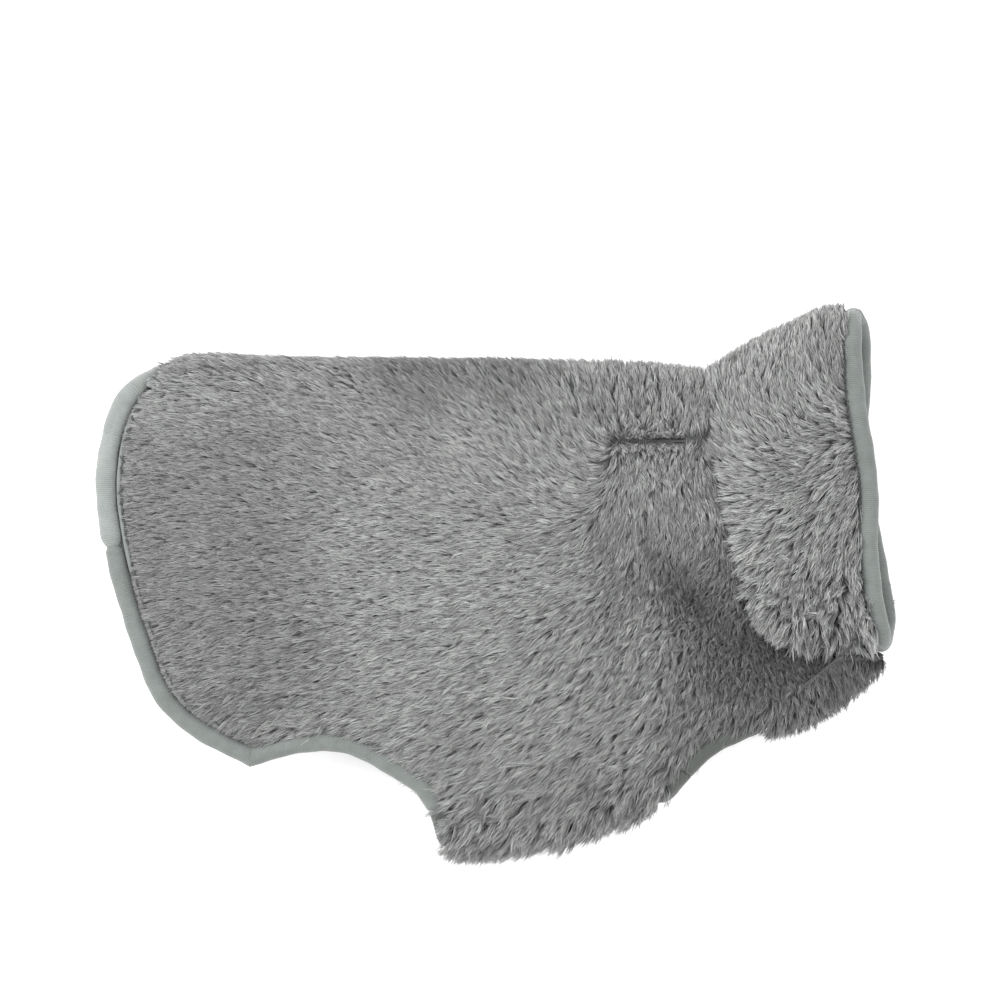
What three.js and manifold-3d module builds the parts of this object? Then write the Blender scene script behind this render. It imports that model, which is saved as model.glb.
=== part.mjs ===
// A long-pile plush dog coat, laid flat on its side: spine fold up the page (+Y), collar to
// the right (+X), lying on its far side in the plane z = 0. Every cloth layer is a solid of
// its own, the binding is a round strip along each open edge, and the belly flap swings open
// round the belly fold. Millimetres.
import * as THREE from 'three';
import { mergeVertices } from 'three/addons/utils/BufferGeometryUtils.js';
import Module from 'manifold-3d';

const wasm = await Module();
wasm.setup();

// ---- Driving dimensions ----
const BACK_LENGTH = 303;        // nape seam to the rearmost point of the hem
const SIDE_DEPTH = 204;         // spine fold to the lower corner of the hem
const BELLY_DEPTH = 245;        // spine fold to the rear end of the belly fold
const CHEST_DEPTH = 188;        // spine fold to the rear end of the chest fold
const COLLAR_HEIGHT = 79;       // nape seam to the collar mouth, along the top fold
const COLLAR_RISE = 31;         // how far the collar's top fold climbs above the nape
const MOUTH_WIDTH = 174;        // flat width of the collar mouth
const MOUTH_SLANT = 15;         // how far the throat end of the mouth lies in front
const BAND_REAR = 133;          // rear end of the belly fold, behind the nape
const BAND_FRONT = 17;          // front end of the belly fold, behind the nape
const BAND_SLOPE = 22;          // how much higher the belly fold's front end lies
const LEG_FRONT = 28;           // front end of the leg opening, before the nape
const TAIL_ROUND = 76;          // rearmost point of the hem to its lower corner
const TAIL_TOP = 32;            // rearmost point of the hem to its end at the spine
const PILE = 9;                 // plush: backing and pile
const LINING = 1.5;             // lining jersey
const CAVITY = 18;              // air between the two linings as the coat lies
const CROWN = 5;                // how far the upper side swells above its edges
const COLLAR_CROWN = 8;         // the same at the collar
const CROWN_RUN = 46;           // distance over which the swelling builds up
const BINDING = 10;             // thickness of the bound edge
const SLOT_LENGTH = 46;         // leash slot
const SLOT_WIDTH = 6;
const SLOT_DROP = 41;           // slot below the spine fold
const SLOT_BACK = 29;           // slot's middle behind the nape
const WELT = 1.5;               // welt cloth along the slot
const TACK = 2;                 // bar tack across each end of the slot
const FLAP_LENGTH = 62;         // belly flap, from the belly fold to its free end
const FLAP_TAPER = 11;          // how much the flap narrows at each side
const FLAP_ROUND = 14;          // corner radius at the flap's free end
const FAR_OVERLAP = 40;         // how far the flap lies on the far side
const TAPE = 1.2;               // thickness of the hook and the loop tape
const TAPE_WIDTH = 22;
const TAPE_LENGTH = 70;
const THREAD = 0.8;             // radius of the seam threads
const TOPSTITCH = 3;            // topstitch's distance from the binding
const HEM_JOIN = 0.56;          // where the binding's ends meet, as a share of the hem
const FAR_LEG = 0.42;           // share of the leg opening's edge that the far side has
const FAR_FLANK = 0.62;         // share of the flank's edge that the far side lacks
const THROAT_SEAM = 0.74;       // share of the neck seam before it turns across the throat
const GAP = 0.3;                // clearance between neighbours

// ---- Heights in the stack, from the table up ----
const LAYER = PILE + GAP + LINING;
const Z_MID = LAYER + CAVITY / 2;
const FOLD_R = Z_MID;
const NEAR_LINING_Z = LAYER + CAVITY;
const NEAR_PLUSH_Z = NEAR_LINING_Z + LINING + GAP;
const NEAR_TOP_Z = NEAR_PLUSH_Z + PILE;
const EDGE_R = BINDING / 2;
const EDGE_TURN = Z_MID - LAYER / 2;              // radius at which a binding rounds a fold
const HOOK_Z = LAYER + GAP;
const LOOP_Z = HOOK_Z + TAPE + GAP;
const FLAP_LIFT = LOOP_Z + TAPE + GAP;            // the far side rides this high on the flap
const RAMP = 18;                                  // run of the slope down from the flap
const FAR_AWAY = 400;
const TALL = 80;
const EDGE_STEP = 6;                              // spacing of the points along an edge
const FOLD_STEP = 13;                             // spacing of the sections along a fold
const BOUND_STEP = 8;                             // spacing of the sections along a binding
const BOUND_SIDES = 8;
const THREAD_STEP = 6;
const THREAD_SIDES = 6;
const PANEL_CELL = 30;                            // grid cell of the swelling upper panels
const MOUND_MARGIN = 6;                           // flat top of the mound beyond the flap
const TAPE_INSET = 4;                             // tapes' distance from the flap's binding

// ---- Corners of the coat, as it lies ----
const NAPE_X = 103;
const SPINE_Y = 111;
const TAIL_X = NAPE_X - BACK_LENGTH;
const nape = [NAPE_X, SPINE_Y - 5];
const tailTop = [TAIL_X + TAIL_TOP, SPINE_Y - 2];
const hemCorner = [TAIL_X + TAIL_ROUND, SPINE_Y - SIDE_DEPTH];
const bellyRear = [NAPE_X - BAND_REAR, SPINE_Y - BELLY_DEPTH];
const bellyFront = [NAPE_X - BAND_FRONT, SPINE_Y - BELLY_DEPTH + BAND_SLOPE];
const chestRear = [NAPE_X + LEG_FRONT, SPINE_Y - CHEST_DEPTH];
const mouthTop = [NAPE_X + COLLAR_HEIGHT, SPINE_Y - 5 + COLLAR_RISE];
const throat = [mouthTop[0] + MOUTH_SLANT, mouthTop[1] - MOUTH_WIDTH];

// ---- Edges: each runs clockwise between two corners, with bows given as
//      [share of the way, sideways bow as a share of the edge's length], left being outside
function edge(from, to, bows) {
  const a = new THREE.Vector2(...from);
  const b = new THREE.Vector2(...to);
  const along = b.clone().sub(a);
  const left = new THREE.Vector2(-along.y, along.x);
  const points = bows.map(([share, bow]) =>
    a.clone().addScaledVector(along, share).addScaledVector(left, bow));
  const spline = new THREE.SplineCurve([a, ...points, b]);
  return spline.getSpacedPoints(Math.max(6, Math.round(spline.getLength() / EDGE_STEP)));
}

const spine = edge(tailTop, nape, [[0.07, 0.019], [0.3, 0.017], [0.6, 0.016], [0.88, 0.011]]);
const collarTop = edge(nape, mouthTop,
  [[0.11, 0.014], [0.31, 0.056], [0.51, 0.072], [0.77, 0.087], [0.925, 0.05]]);
const mouthNear = edge(mouthTop, throat,
  [[0.1, 0.012], [0.27, 0], [0.5, 0.006], [0.73, 0.015], [0.9, 0.017]]);
const mouthFar = edge(mouthTop, throat,
  [[0.07, 0.028], [0.21, 0.019], [0.36, 0], [0.53, 0], [0.76, 0.021], [0.9, 0.031]]);
const chest = edge(throat, chestRear, [[0.13, 0.06], [0.3, 0.086], [0.62, 0.118], [0.86, 0.07]]);
const leg = edge(chestRear, bellyFront, [[0.2, -0.056], [0.42, -0.104], [0.73, -0.066]]);
const belly = edge(bellyFront, bellyRear, [[0.22, 0.044], [0.49, 0.08], [0.87, 0.058]]);
const flank = edge(bellyRear, hemCorner,
  [[0.1, -0.127], [0.2, -0.202], [0.33, -0.227], [0.5, -0.249], [0.67, -0.227], [0.84, -0.131]]);
const hem = edge(hemCorner, tailTop, [[0.106, 0.125], [0.21, 0.192], [0.36, 0.218],
  [0.55, 0.232], [0.73, 0.22], [0.87, 0.172], [0.963, 0.102]]);
const neck = edge(nape, throat, [[0.085, -0.035], [0.21, -0.11], [0.35, -0.166], [0.52, -0.231],
  [0.7, -0.266], [0.84, -0.216], [0.93, -0.11]]);

// The flap swings round a straight line that lies one fold radius inside the belly fold.
const foldDir = new THREE.Vector2(...bellyFront).sub(new THREE.Vector2(...bellyRear)).normalize();
const foldIn = new THREE.Vector2(-foldDir.y, foldDir.x);
const flapPoint = (corner, along, inwards) => {
  const p = new THREE.Vector2(...corner).addScaledVector(foldDir, along).addScaledVector(foldIn, inwards);
  return [p.x, p.y];
};
const flapDepth = FOLD_R + FLAP_LENGTH;
const ROUND_SHARE = 1 - Math.SQRT1_2;             // how far a round corner cuts in at its middle
const bulge = FLAP_ROUND * ROUND_SHARE;
const flapSide = (corner, side) => [corner,
  flapPoint(corner, (side * FLAP_TAPER) / 2, flapDepth / 2),
  flapPoint(corner, side * FLAP_TAPER, flapDepth - FLAP_ROUND),
  flapPoint(corner, side * (FLAP_TAPER + bulge), flapDepth - bulge),
  flapPoint(corner, side * (FLAP_TAPER + FLAP_ROUND), flapDepth)];
const flapCorners = [...flapSide(bellyRear, 1), ...flapSide(bellyFront, -1).reverse()];
const flapSides = (() => {
  const spline = new THREE.SplineCurve(flapCorners.map((p) => new THREE.Vector2(...p)));
  return spline.getSpacedPoints(Math.round((2 * spline.getLength()) / EDGE_STEP));
})();

// The far side's own lower edge lies under the near side, FAR_OVERLAP inside the flap's end.
const legCut = Math.round(leg.length * FAR_LEG);
const flankCut = Math.round(flank.length * FAR_FLANK);
const farEdgeFront = leg[legCut].toArray();
const farEdgeRear = flank[flankCut].toArray();
const bellyLength = new THREE.Vector2(...bellyFront).distanceTo(new THREE.Vector2(...bellyRear));
const farEdgeIn = flapDepth - FAR_OVERLAP;
const farEdgeMiddle = new THREE.Vector2(...flapPoint(bellyRear, bellyLength / 2, farEdgeIn));
const farEdgeBow = (() => {
  const a = new THREE.Vector2(...farEdgeFront);
  const along = new THREE.Vector2(...farEdgeRear).sub(a);
  const left = new THREE.Vector2(-along.y, along.x);
  return farEdgeMiddle.clone().sub(a).dot(left) / along.lengthSq();
})();
const farLeg = leg.slice(0, legCut + 1);
const farEdge = edge(farEdgeFront, farEdgeRear,
  [[0.12, farEdgeBow * 0.55], [0.5, farEdgeBow], [0.86, farEdgeBow * 0.6]]);
const farFlank = flank.slice(flankCut);

// ---- Plan helpers ----
function inset(points, distance) {
  return points.map((p, i) => {
    const before = points[Math.max(0, i - 1)];
    const after = points[Math.min(points.length - 1, i + 1)];
    const t = after.clone().sub(before).normalize();
    return new THREE.Vector2(p.x + t.y * distance, p.y - t.x * distance);
  });
}

// The same run moved sideways, without the loops that tight bends would leave in it.
function cleanInset(points, distance) {
  const moved = inset(points, distance);
  return moved.filter((p) => distanceTo(points, p.x, p.y) > Math.abs(distance) - GAP / 2);
}

function distanceTo(points, x, y) {
  let best = Infinity;
  for (let i = 1; i < points.length; i += 1) {
    const a = points[i - 1];
    const dx = points[i].x - a.x;
    const dy = points[i].y - a.y;
    const along = ((x - a.x) * dx + (y - a.y) * dy) / (dx * dx + dy * dy || 1);
    const share = THREE.MathUtils.clamp(along, 0, 1);
    best = Math.min(best, Math.hypot(x - a.x - share * dx, y - a.y - share * dy));
  }
  return best;
}

// ---- Solid helpers ----
function solid(geometry) {
  const bare = geometry.clone();
  bare.deleteAttribute('normal');
  bare.deleteAttribute('uv');
  const merged = mergeVertices(bare, 1e-4);
  const vertProperties = new Float32Array(merged.attributes.position.array);
  const triVerts = new Uint32Array(merged.index.array);
  let volume = 0;
  const at = (i) => new THREE.Vector3().fromArray(vertProperties, 3 * i);
  for (let i = 0; i < triVerts.length; i += 3) {
    volume += at(triVerts[i]).dot(at(triVerts[i + 1]).cross(at(triVerts[i + 2])));
  }
  if (volume < 0) triVerts.reverse();
  return new wasm.Manifold(new wasm.Mesh({ numProp: 3, vertProperties, triVerts }));
}

function slab(points, low, high) {
  const shape = new THREE.Shape(points);
  const geometry = new THREE.ExtrudeGeometry(shape, { depth: high - low, bevelEnabled: false });
  return solid(geometry.translate(0, 0, low));
}

// A tall strip along an edge, from one inset to another: what a fold or a binding takes up.
function strip(points, from, to) {
  const outer = cleanInset(points, from);
  const inner = cleanInset(points, to).reverse();
  return slab([...outer, ...inner], -TALL, TALL);
}

// The same run carried straight on past both its ends.
function longer(points, extra) {
  const first = points[0].clone().sub(points[1]).setLength(extra).add(points[0]);
  const last = points.at(-1).clone().sub(points.at(-2)).setLength(extra).add(points.at(-1));
  return [first, ...points, last];
}

// A sheet between two height functions, on a grid of square cells, before it is cut to shape.
function sheet(points, low, high) {
  const box = new THREE.Box2().setFromPoints(points);
  const size = box.getSize(new THREE.Vector2());
  const middle = box.getCenter(new THREE.Vector2());
  const geometry = new THREE.BoxGeometry(size.x + 2, size.y + 2, 1,
    Math.round(size.x / PANEL_CELL), Math.round(size.y / PANEL_CELL), 1);
  geometry.translate(middle.x, middle.y, 0);
  const position = geometry.attributes.position;
  for (let i = 0; i < position.count; i += 1) {
    const x = position.getX(i);
    const y = position.getY(i);
    position.setZ(i, position.getZ(i) > 0 ? high(x, y) : low);
  }
  return solid(geometry);
}

// Half of a ring along a folded edge, so that the cloth turns from one side to the other.
function foldRing(points, outer, inner) {
  const section = new THREE.Shape();
  section.absarc(0, -FOLD_R, outer, 0, Math.PI, false);
  section.absarc(0, -FOLD_R, inner, Math.PI, 0, true);
  const path = new THREE.CatmullRomCurve3(points.map((p) => new THREE.Vector3(p.x, p.y, Z_MID)));
  const steps = Math.max(8, Math.round(path.getLength() / FOLD_STEP));
  return solid(new THREE.ExtrudeGeometry(section,
    { steps, curveSegments: 4, bevelEnabled: false, extrudePath: path }));
}

function tube(points, radius, sides, spacing) {
  const section = new THREE.Shape();
  for (let i = 0; i < sides; i += 1) {
    const turn = (2 * Math.PI * (i + 0.5)) / sides;
    section[i ? 'lineTo' : 'moveTo'](radius * Math.cos(turn), radius * Math.sin(turn));
  }
  section.closePath();
  const path = new THREE.CatmullRomCurve3(points);
  const steps = Math.round(path.getLength() / spacing);
  return solid(new THREE.ExtrudeGeometry(section, { steps, bevelEnabled: false, extrudePath: path }));
}

function subtractAll(body, cutters) {
  return cutters.reduce((left, cutter) => left.subtract(cutter), body);
}

// ---- Height of the far side where it lies on the flap: a low flat-topped mound ----
const flapBox = new THREE.Box2().setFromPoints(flapSides);
const moundLow = new THREE.Vector2(flapBox.min.x - RAMP - MOUND_MARGIN, -FAR_AWAY);
const moundHigh = flapBox.max.clone().addScalar(RAMP + MOUND_MARGIN);

function lift(x, y) {
  const depth = Math.min(x - moundLow.x, moundHigh.x - x, moundHigh.y - y);
  return FLAP_LIFT * THREE.MathUtils.clamp(depth / RAMP, 0, 1);
}

function mound(base, low, high) {
  const geometry = new THREE.BoxGeometry(1, 1, 1);
  const position = geometry.attributes.position;
  for (let i = 0; i < position.count; i += 1) {
    const z = position.getZ(i) > 0 ? high : low;
    const narrowed = (RAMP * (z - base)) / FLAP_LIFT;
    position.setX(i, position.getX(i) > 0 ? moundHigh.x - narrowed : moundLow.x + narrowed);
    position.setY(i, position.getY(i) > 0 ? moundHigh.y - narrowed : moundLow.y);
    position.setZ(i, z);
  }
  return solid(geometry);
}

// A flat sheet of the far side, raised over the mound at the same thickness.
function farSheet(outline, low, high) {
  const raised = mound(high, high - 1, high + FLAP_LIFT).intersect(slab(outline, -TALL, TALL));
  return slab(outline, low, high).add(raised).subtract(mound(low, low - 1, low + FLAP_LIFT));
}

// ---- Outlines ----
const nearOutline = [...spine, ...collarTop.slice(1), ...mouthNear.slice(1), ...chest.slice(1),
  ...leg.slice(1), ...belly.slice(1), ...flank.slice(1), ...hem.slice(1, -1)];
const farOutline = [...spine, ...collarTop.slice(1), ...mouthFar.slice(1), ...chest.slice(1),
  ...farLeg.slice(1), ...farEdge.slice(1), ...farFlank.slice(1), ...hem.slice(1, -1)];
const flapOutline = [...belly, ...flapSides.slice(1, -1)];

// The neck seam parts the collar (above and before it) from the body.
const collarSide = slab([...inset(neck, -GAP / 2), new THREE.Vector2(FAR_AWAY, throat[1] + GAP / 2),
  new THREE.Vector2(FAR_AWAY, FAR_AWAY), new THREE.Vector2(nape[0] + GAP / 2, FAR_AWAY)], -TALL, TALL);
const bodySide = slab([...inset(neck, GAP / 2), new THREE.Vector2(FAR_AWAY, throat[1] - GAP / 2),
  new THREE.Vector2(FAR_AWAY, -FAR_AWAY), new THREE.Vector2(-FAR_AWAY, -FAR_AWAY),
  new THREE.Vector2(-FAR_AWAY, FAR_AWAY), new THREE.Vector2(nape[0] - GAP / 2, FAR_AWAY)], -TALL, TALL);

// The collar's own lower fold is the stretch of the neck seam that lies across the throat.
const collarBottom = neck.slice(Math.round(neck.length * THROAT_SEAM)).reverse();

// ---- What folds and bindings take out of the flat panels ----
const foldTake = FOLD_R + 2.4 * GAP;
const FOLD_END = 4;                               // a fold's cut runs this far past its ends
const edgeTake = BINDING + GAP;
const foldedTake = (run) => strip(longer(run, FOLD_END), -FOLD_R, foldTake);
const bodyFolds = [foldedTake(spine), foldedTake(chest)];
const bellyTake = foldedTake(belly);
const collarFolds = [foldedTake(collarTop), foldedTake(collarBottom)];
const boundTake = (run) => strip(longer(run, BINDING), -BINDING, edgeTake);
const hemTake = boundTake(hem);
const flankTake = boundTake(flank);
const legTake = boundTake(leg);
const mouthNearTake = boundTake(mouthNear);
const mouthFarTake = boundTake(mouthFar);
const flapSidesTake = strip(longer(flapSides, FOLD_R), -BINDING, edgeTake);
const farEdgeTakes = [farLeg, farEdge, farFlank].map((run) => strip(run, -BINDING, edgeTake));

// ---- Leash slot ----
const slotX = NAPE_X - SLOT_BACK;
const slotY = SPINE_Y - SLOT_DROP;

function slotBlock(length, width, low, high, x = slotX, y = slotY) {
  return solid(new THREE.BoxGeometry(length, width, high - low).translate(x, y, (low + high) / 2));
}
const slotCut = slotBlock(SLOT_LENGTH + 2 * GAP, SLOT_WIDTH + 2 * (WELT + GAP), 0, TALL);

// ---- Routes of seam threads and bindings ----
const SEAM_Z = NEAR_TOP_Z + THREAD / 2;
const seamPath = (run) => run.map((p) => new THREE.Vector3(p.x, p.y, SEAM_Z));
const hemSeam = inset(hem, BINDING + TOPSTITCH);
const share = (run, from, to) => run.slice(Math.round(run.length * from), Math.round(run.length * to));
const neckThreadRun = share(neck, 0.13, 0.7);
const hemThreadRun = share(hemSeam, 0.16, 0.86);
const grooveHalf = THREAD + GAP;
const groove = (run) =>
  slab([...inset(run, -grooveHalf), ...inset(run, grooveHalf).reverse()], SEAM_Z - grooveHalf, TALL);
const neckGroove = groove(share(neck, 0.12, 0.71));
const hemGroove = groove(share(hemSeam, 0.15, 0.87));

// A bound edge rounds each fold that it meets: its height follows the fold's own circle.
function edgeRoute(run, folds, side) {
  const route = [];
  const spline = new THREE.SplineCurve(run);
  const dense = spline.getSpacedPoints(Math.round(spline.getLength()));
  for (const p of inset(dense, EDGE_R)) {
    const depth = Math.min(...folds.map((fold) => distanceTo(fold, p.x, p.y))) - EDGE_R;
    if (depth >= 0) {
      const turned = Math.min(depth / EDGE_TURN, 1);
      const rise = EDGE_TURN * Math.sqrt(1 - (1 - turned) ** 2);
      const raised = side < 0 ? lift(p.x, p.y) : 0;
      route.push({ depth, point: new THREE.Vector3(p.x, p.y, Z_MID + side * rise + raised) });
    }
  }
  return route;
}
const pointsOf = (route) => route.map((stop) => stop.point);
const flatPart = (route) => route.filter((stop) => stop.depth >= EDGE_TURN + GAP);
const turnPart = (route) => route.filter((stop) => stop.depth < EDGE_TURN);

const joinAt = Math.round(hem.length * HEM_JOIN);
const hemBelowJoin = hem.slice(0, joinAt);
const hemAboveJoin = hem.slice(joinAt);
const nearFlankRoute = edgeRoute(flank, [belly], 1);
const nearLegRoute = edgeRoute(leg, [chest, belly], 1);
const legInBelly = edgeRoute(leg, [belly], 1);
const flapSpline = new THREE.SplineCurve(flapSides);
const flapLine = flapSpline.getSpacedPoints(Math.round(flapSpline.getLength()));
const flapRoute = inset(flapLine, EDGE_R).map((p) => {
  const depth = distanceTo(belly, p.x, p.y) - EDGE_R;
  const turned = THREE.MathUtils.clamp(depth / EDGE_TURN, 0, 1);
  const drop = EDGE_TURN * Math.sqrt(1 - (1 - turned) ** 2);
  return { depth, point: new THREE.Vector3(p.x, p.y, Z_MID - drop) };
}).filter((stop) => stop.depth >= 0);
const halfFlap = Math.round(flapRoute.length / 2);
const hemUpperRoute = [...edgeRoute(hemAboveJoin, [spine], 1), ...edgeRoute(hem, [spine], -1).reverse(),
  ...edgeRoute(farFlank, [chest], -1).reverse().slice(1)];
const boundEdge = (points) => tube(points, EDGE_R, BOUND_SIDES, BOUND_STEP);
const clearOfHem = tube(pointsOf(hemUpperRoute), EDGE_R + GAP, BOUND_SIDES, BOUND_STEP);

// ---- Materials ----
const cloth = (color, roughness) => new THREE.MeshStandardMaterial({ color, roughness, metalness: 0 });
const PLUSH = cloth(0x969696, 0.95);
const JERSEY = cloth(0x8b8f8d, 0.9);
const RIB = cloth(0x99a09d, 0.9);
const THREAD_GREY = cloth(0x5d6260, 0.7);
const HOOKS = cloth(0x4c5050, 0.6);

// ---- Assembly ----
const coat = new THREE.Group();

function place(name, body, material) {
  const mesh = body.getMesh();
  const geometry = new THREE.BufferGeometry();
  const corners = new Float32Array(mesh.triVerts.length * 3);
  mesh.triVerts.forEach((vertex, i) => {
    const start = mesh.numProp * vertex;
    corners.set(mesh.vertProperties.subarray(start, start + 3), 3 * i);
  });
  geometry.setAttribute('position', new THREE.BufferAttribute(corners, 3));
  const piece = new THREE.Mesh(mergeVertices(geometry, 1e-5), material);
  piece.geometry.computeVertexNormals();
  piece.name = name;
  coat.add(piece);
}

function swell(height) {
  return (x, y) => {
    const depth = distanceTo([...nearOutline, nearOutline[0]], x, y) - FOLD_R;
    return NEAR_TOP_Z + height * THREE.MathUtils.smoothstep(depth, 0, CROWN_RUN);
  };
}

function nearPanels() {
  const outline = slab(nearOutline, -TALL, TALL);
  const cuts = [...bodyFolds, bellyTake, hemTake, flankTake, legTake, slotCut];
  const body = subtractAll(outline.intersect(bodySide), cuts);
  const collar = subtractAll(outline.intersect(collarSide), [...collarFolds, mouthNearTake]);
  const bodyPlush = sheet(nearOutline, NEAR_PLUSH_Z, swell(CROWN)).intersect(body);
  const collarPlush = sheet(nearOutline, NEAR_PLUSH_Z, swell(COLLAR_CROWN)).intersect(collar);
  const flat = slab(nearOutline, NEAR_LINING_Z, NEAR_LINING_Z + LINING);
  place('near_side_plush', subtractAll(bodyPlush, [neckGroove, hemGroove]), PLUSH);
  place('near_side_lining', flat.intersect(body), JERSEY);
  place('near_collar_plush', collarPlush.subtract(neckGroove), PLUSH);
  place('near_collar_lining', flat.intersect(collar), JERSEY);
}

function farPanels() {
  const bodyCuts = [...bodyFolds, hemTake, ...farEdgeTakes, clearOfHem];
  const collarCuts = [...collarFolds, mouthFarTake];
  const plush = farSheet(farOutline, 0, PILE);
  const lining = farSheet(farOutline, PILE + GAP, LAYER);
  place('far_side_plush', subtractAll(plush.intersect(bodySide), bodyCuts), PLUSH);
  place('far_side_lining', subtractAll(lining.intersect(bodySide), bodyCuts), JERSEY);
  place('far_collar_plush', subtractAll(plush.intersect(collarSide), collarCuts), PLUSH);
  place('far_collar_lining', subtractAll(lining.intersect(collarSide), collarCuts), JERSEY);
}

function folds() {
  const trimCollar = (ring) => subtractAll(ring.intersect(collarSide), [mouthNearTake, mouthFarTake]);
  const rings = {
    spine_fold: [spine, (ring) => ring.intersect(bodySide).subtract(hemTake)],
    chest_fold: [chest, (ring) => ring.intersect(bodySide).subtract(legTake)],
    belly_fold: [belly, (ring) => subtractAll(ring, [legTake, flankTake, flapSidesTake])],
    collar_top_fold: [collarTop, trimCollar],
    collar_throat_fold: [collarBottom, trimCollar],
  };
  const skin = FOLD_R - PILE;
  for (const [name, [run, trim]] of Object.entries(rings)) {
    place(`${name}_plush`, trim(foldRing(run, FOLD_R, skin)), PLUSH);
    place(`${name}_lining`, trim(foldRing(run, skin - GAP, skin - GAP - LINING)), JERSEY);
  }
}

function bindings() {
  const lower = [...flatPart(nearFlankRoute), ...edgeRoute(hemBelowJoin, [spine], 1)];
  place('hem_binding_lower', boundEdge(pointsOf(lower)), RIB);
  place('hem_binding_upper', boundEdge(pointsOf(hemUpperRoute)), RIB);
  const nearLeg = nearLegRoute.filter((stop) => depthInBelly(stop.point) >= EDGE_TURN + GAP);
  const around = [...edgeRoute(farEdge, [chest], -1).slice(1, -2).reverse(),
    ...edgeRoute(farLeg, [chest], -1).reverse().slice(1), ...nearLeg];
  place('leg_binding', boundEdge(pointsOf(around)).subtract(clearOfHem), RIB);
  collarBinding();
  bellyFoldBindings();
}

function depthInBelly(point) {
  return distanceTo(belly, point.x, point.y) - EDGE_R;
}

function collarBinding() {
  const ends = [collarTop, collarBottom];
  const far = pointsOf(edgeRoute(mouthFar, ends, -1));
  const near = pointsOf(edgeRoute(mouthNear, ends, 1));
  const half = Math.round(far.length / 2);
  const loop = [...far.slice(half + 1), ...near.reverse(), ...far.slice(0, half + 1)];
  const join = loop.at(-1).clone().lerp(loop[0], 0.7);
  place('collar_binding', boundEdge([...loop, join]), RIB);
}

function bellyFoldBindings() {
  const rear = [...turnPart(nearFlankRoute).reverse(), ...turnPart(flapRoute.slice(0, halfFlap))];
  place('belly_fold_binding_rear', boundEdge(pointsOf(rear)), RIB);
  const front = [...turnPart(legInBelly), ...turnPart(flapRoute.slice(halfFlap)).reverse()];
  place('belly_fold_binding_front', boundEdge(pointsOf(front)), RIB);
}

function tapeBlock(low) {
  const fromFold = flapDepth - BINDING - TAPE_INSET - TAPE_WIDTH / 2;
  const centre = new THREE.Vector2(...flapPoint(bellyRear, bellyLength / 2, fromFold));
  const box = new THREE.BoxGeometry(TAPE_LENGTH, TAPE_WIDTH, TAPE);
  box.rotateZ(foldDir.angle());
  return solid(box.translate(centre.x, centre.y, low + TAPE / 2));
}

function flap() {
  const cuts = [strip(longer(belly, FOLD_R), -FOLD_R, foldTake), flapSidesTake];
  const plan = subtractAll(slab(flapOutline, -TALL, TALL), cuts);
  place('flap_plush', slab(flapOutline, 0, PILE).intersect(plan), PLUSH);
  place('flap_lining', slab(flapOutline, PILE + GAP, LAYER).intersect(plan), JERSEY);
  place('flap_binding', boundEdge(pointsOf(flatPart(flapRoute))), RIB);
  place('hook_tape', tapeBlock(HOOK_Z), HOOKS);
  place('loop_tape', tapeBlock(LOOP_Z), HOOKS);
}

function leashSlot() {
  const high = NEAR_TOP_Z + 1;
  for (const [name, side] of [['upper', 1], ['lower', -1]]) {
    const y = slotY + side * (SLOT_WIDTH + WELT) / 2;
    place(`slot_welt_${name}`, slotBlock(SLOT_LENGTH, WELT, NEAR_LINING_Z, high, slotX, y), JERSEY);
  }
  for (const [name, side] of [['front', 1], ['rear', -1]]) {
    const x = slotX + side * (SLOT_LENGTH - TACK) / 2;
    const bar = slotBlock(TACK, SLOT_WIDTH - 2 * GAP, high - TACK, high, x);
    place(`slot_tack_${name}`, bar, THREAD_GREY);
  }
}

function threads() {
  const seam = (run) => tube(seamPath(run), THREAD, THREAD_SIDES, THREAD_STEP);
  place('neck_seam_thread', seam(neckThreadRun), THREAD_GREY);
  place('hem_topstitch', seam(hemThreadRun), THREAD_GREY);
}

nearPanels();
farPanels();
folds();
bindings();
flap();
leashSlot();
threads();

// The origin is the middle of the coat's box, on the table.
const box = new THREE.Box3().setFromObject(coat);
coat.position.set(-(box.min.x + box.max.x) / 2, -(box.min.y + box.max.y) / 2, -box.min.z);

export default coat;
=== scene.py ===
"""A long-pile plush dog coat, laid flat on its side with the collar to the right.

The coat is built as it is sewn: plush panels and folds, each a backing with brushed tufts
standing on it, a jersey lining inside, knitted binding along every open edge, a leash slot
in the back and a belly flap that swings at the belly fold. Plan sizes are in millimetres.
"""

import math

import bpy
import numpy as np
from mathutils.geometry import delaunay_2d_cdt
from mathutils.kdtree import KDTree
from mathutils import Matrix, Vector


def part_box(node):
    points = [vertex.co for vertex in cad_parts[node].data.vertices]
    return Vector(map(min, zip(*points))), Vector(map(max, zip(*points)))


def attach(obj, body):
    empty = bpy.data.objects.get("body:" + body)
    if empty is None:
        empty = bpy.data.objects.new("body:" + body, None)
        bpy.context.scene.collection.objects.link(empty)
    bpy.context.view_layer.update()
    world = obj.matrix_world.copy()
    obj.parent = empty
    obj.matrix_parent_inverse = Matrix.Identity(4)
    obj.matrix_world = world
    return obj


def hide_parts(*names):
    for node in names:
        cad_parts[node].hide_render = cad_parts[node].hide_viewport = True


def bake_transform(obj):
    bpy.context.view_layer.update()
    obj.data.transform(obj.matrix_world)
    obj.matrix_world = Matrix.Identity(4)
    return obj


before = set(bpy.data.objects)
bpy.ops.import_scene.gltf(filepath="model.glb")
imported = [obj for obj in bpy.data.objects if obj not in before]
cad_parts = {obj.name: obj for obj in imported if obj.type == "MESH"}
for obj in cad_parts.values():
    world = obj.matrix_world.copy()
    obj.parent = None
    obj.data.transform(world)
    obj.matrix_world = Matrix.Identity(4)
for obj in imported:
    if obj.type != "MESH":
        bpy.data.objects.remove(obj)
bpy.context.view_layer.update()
MM = 0.001
rng = np.random.default_rng(4107)

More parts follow.
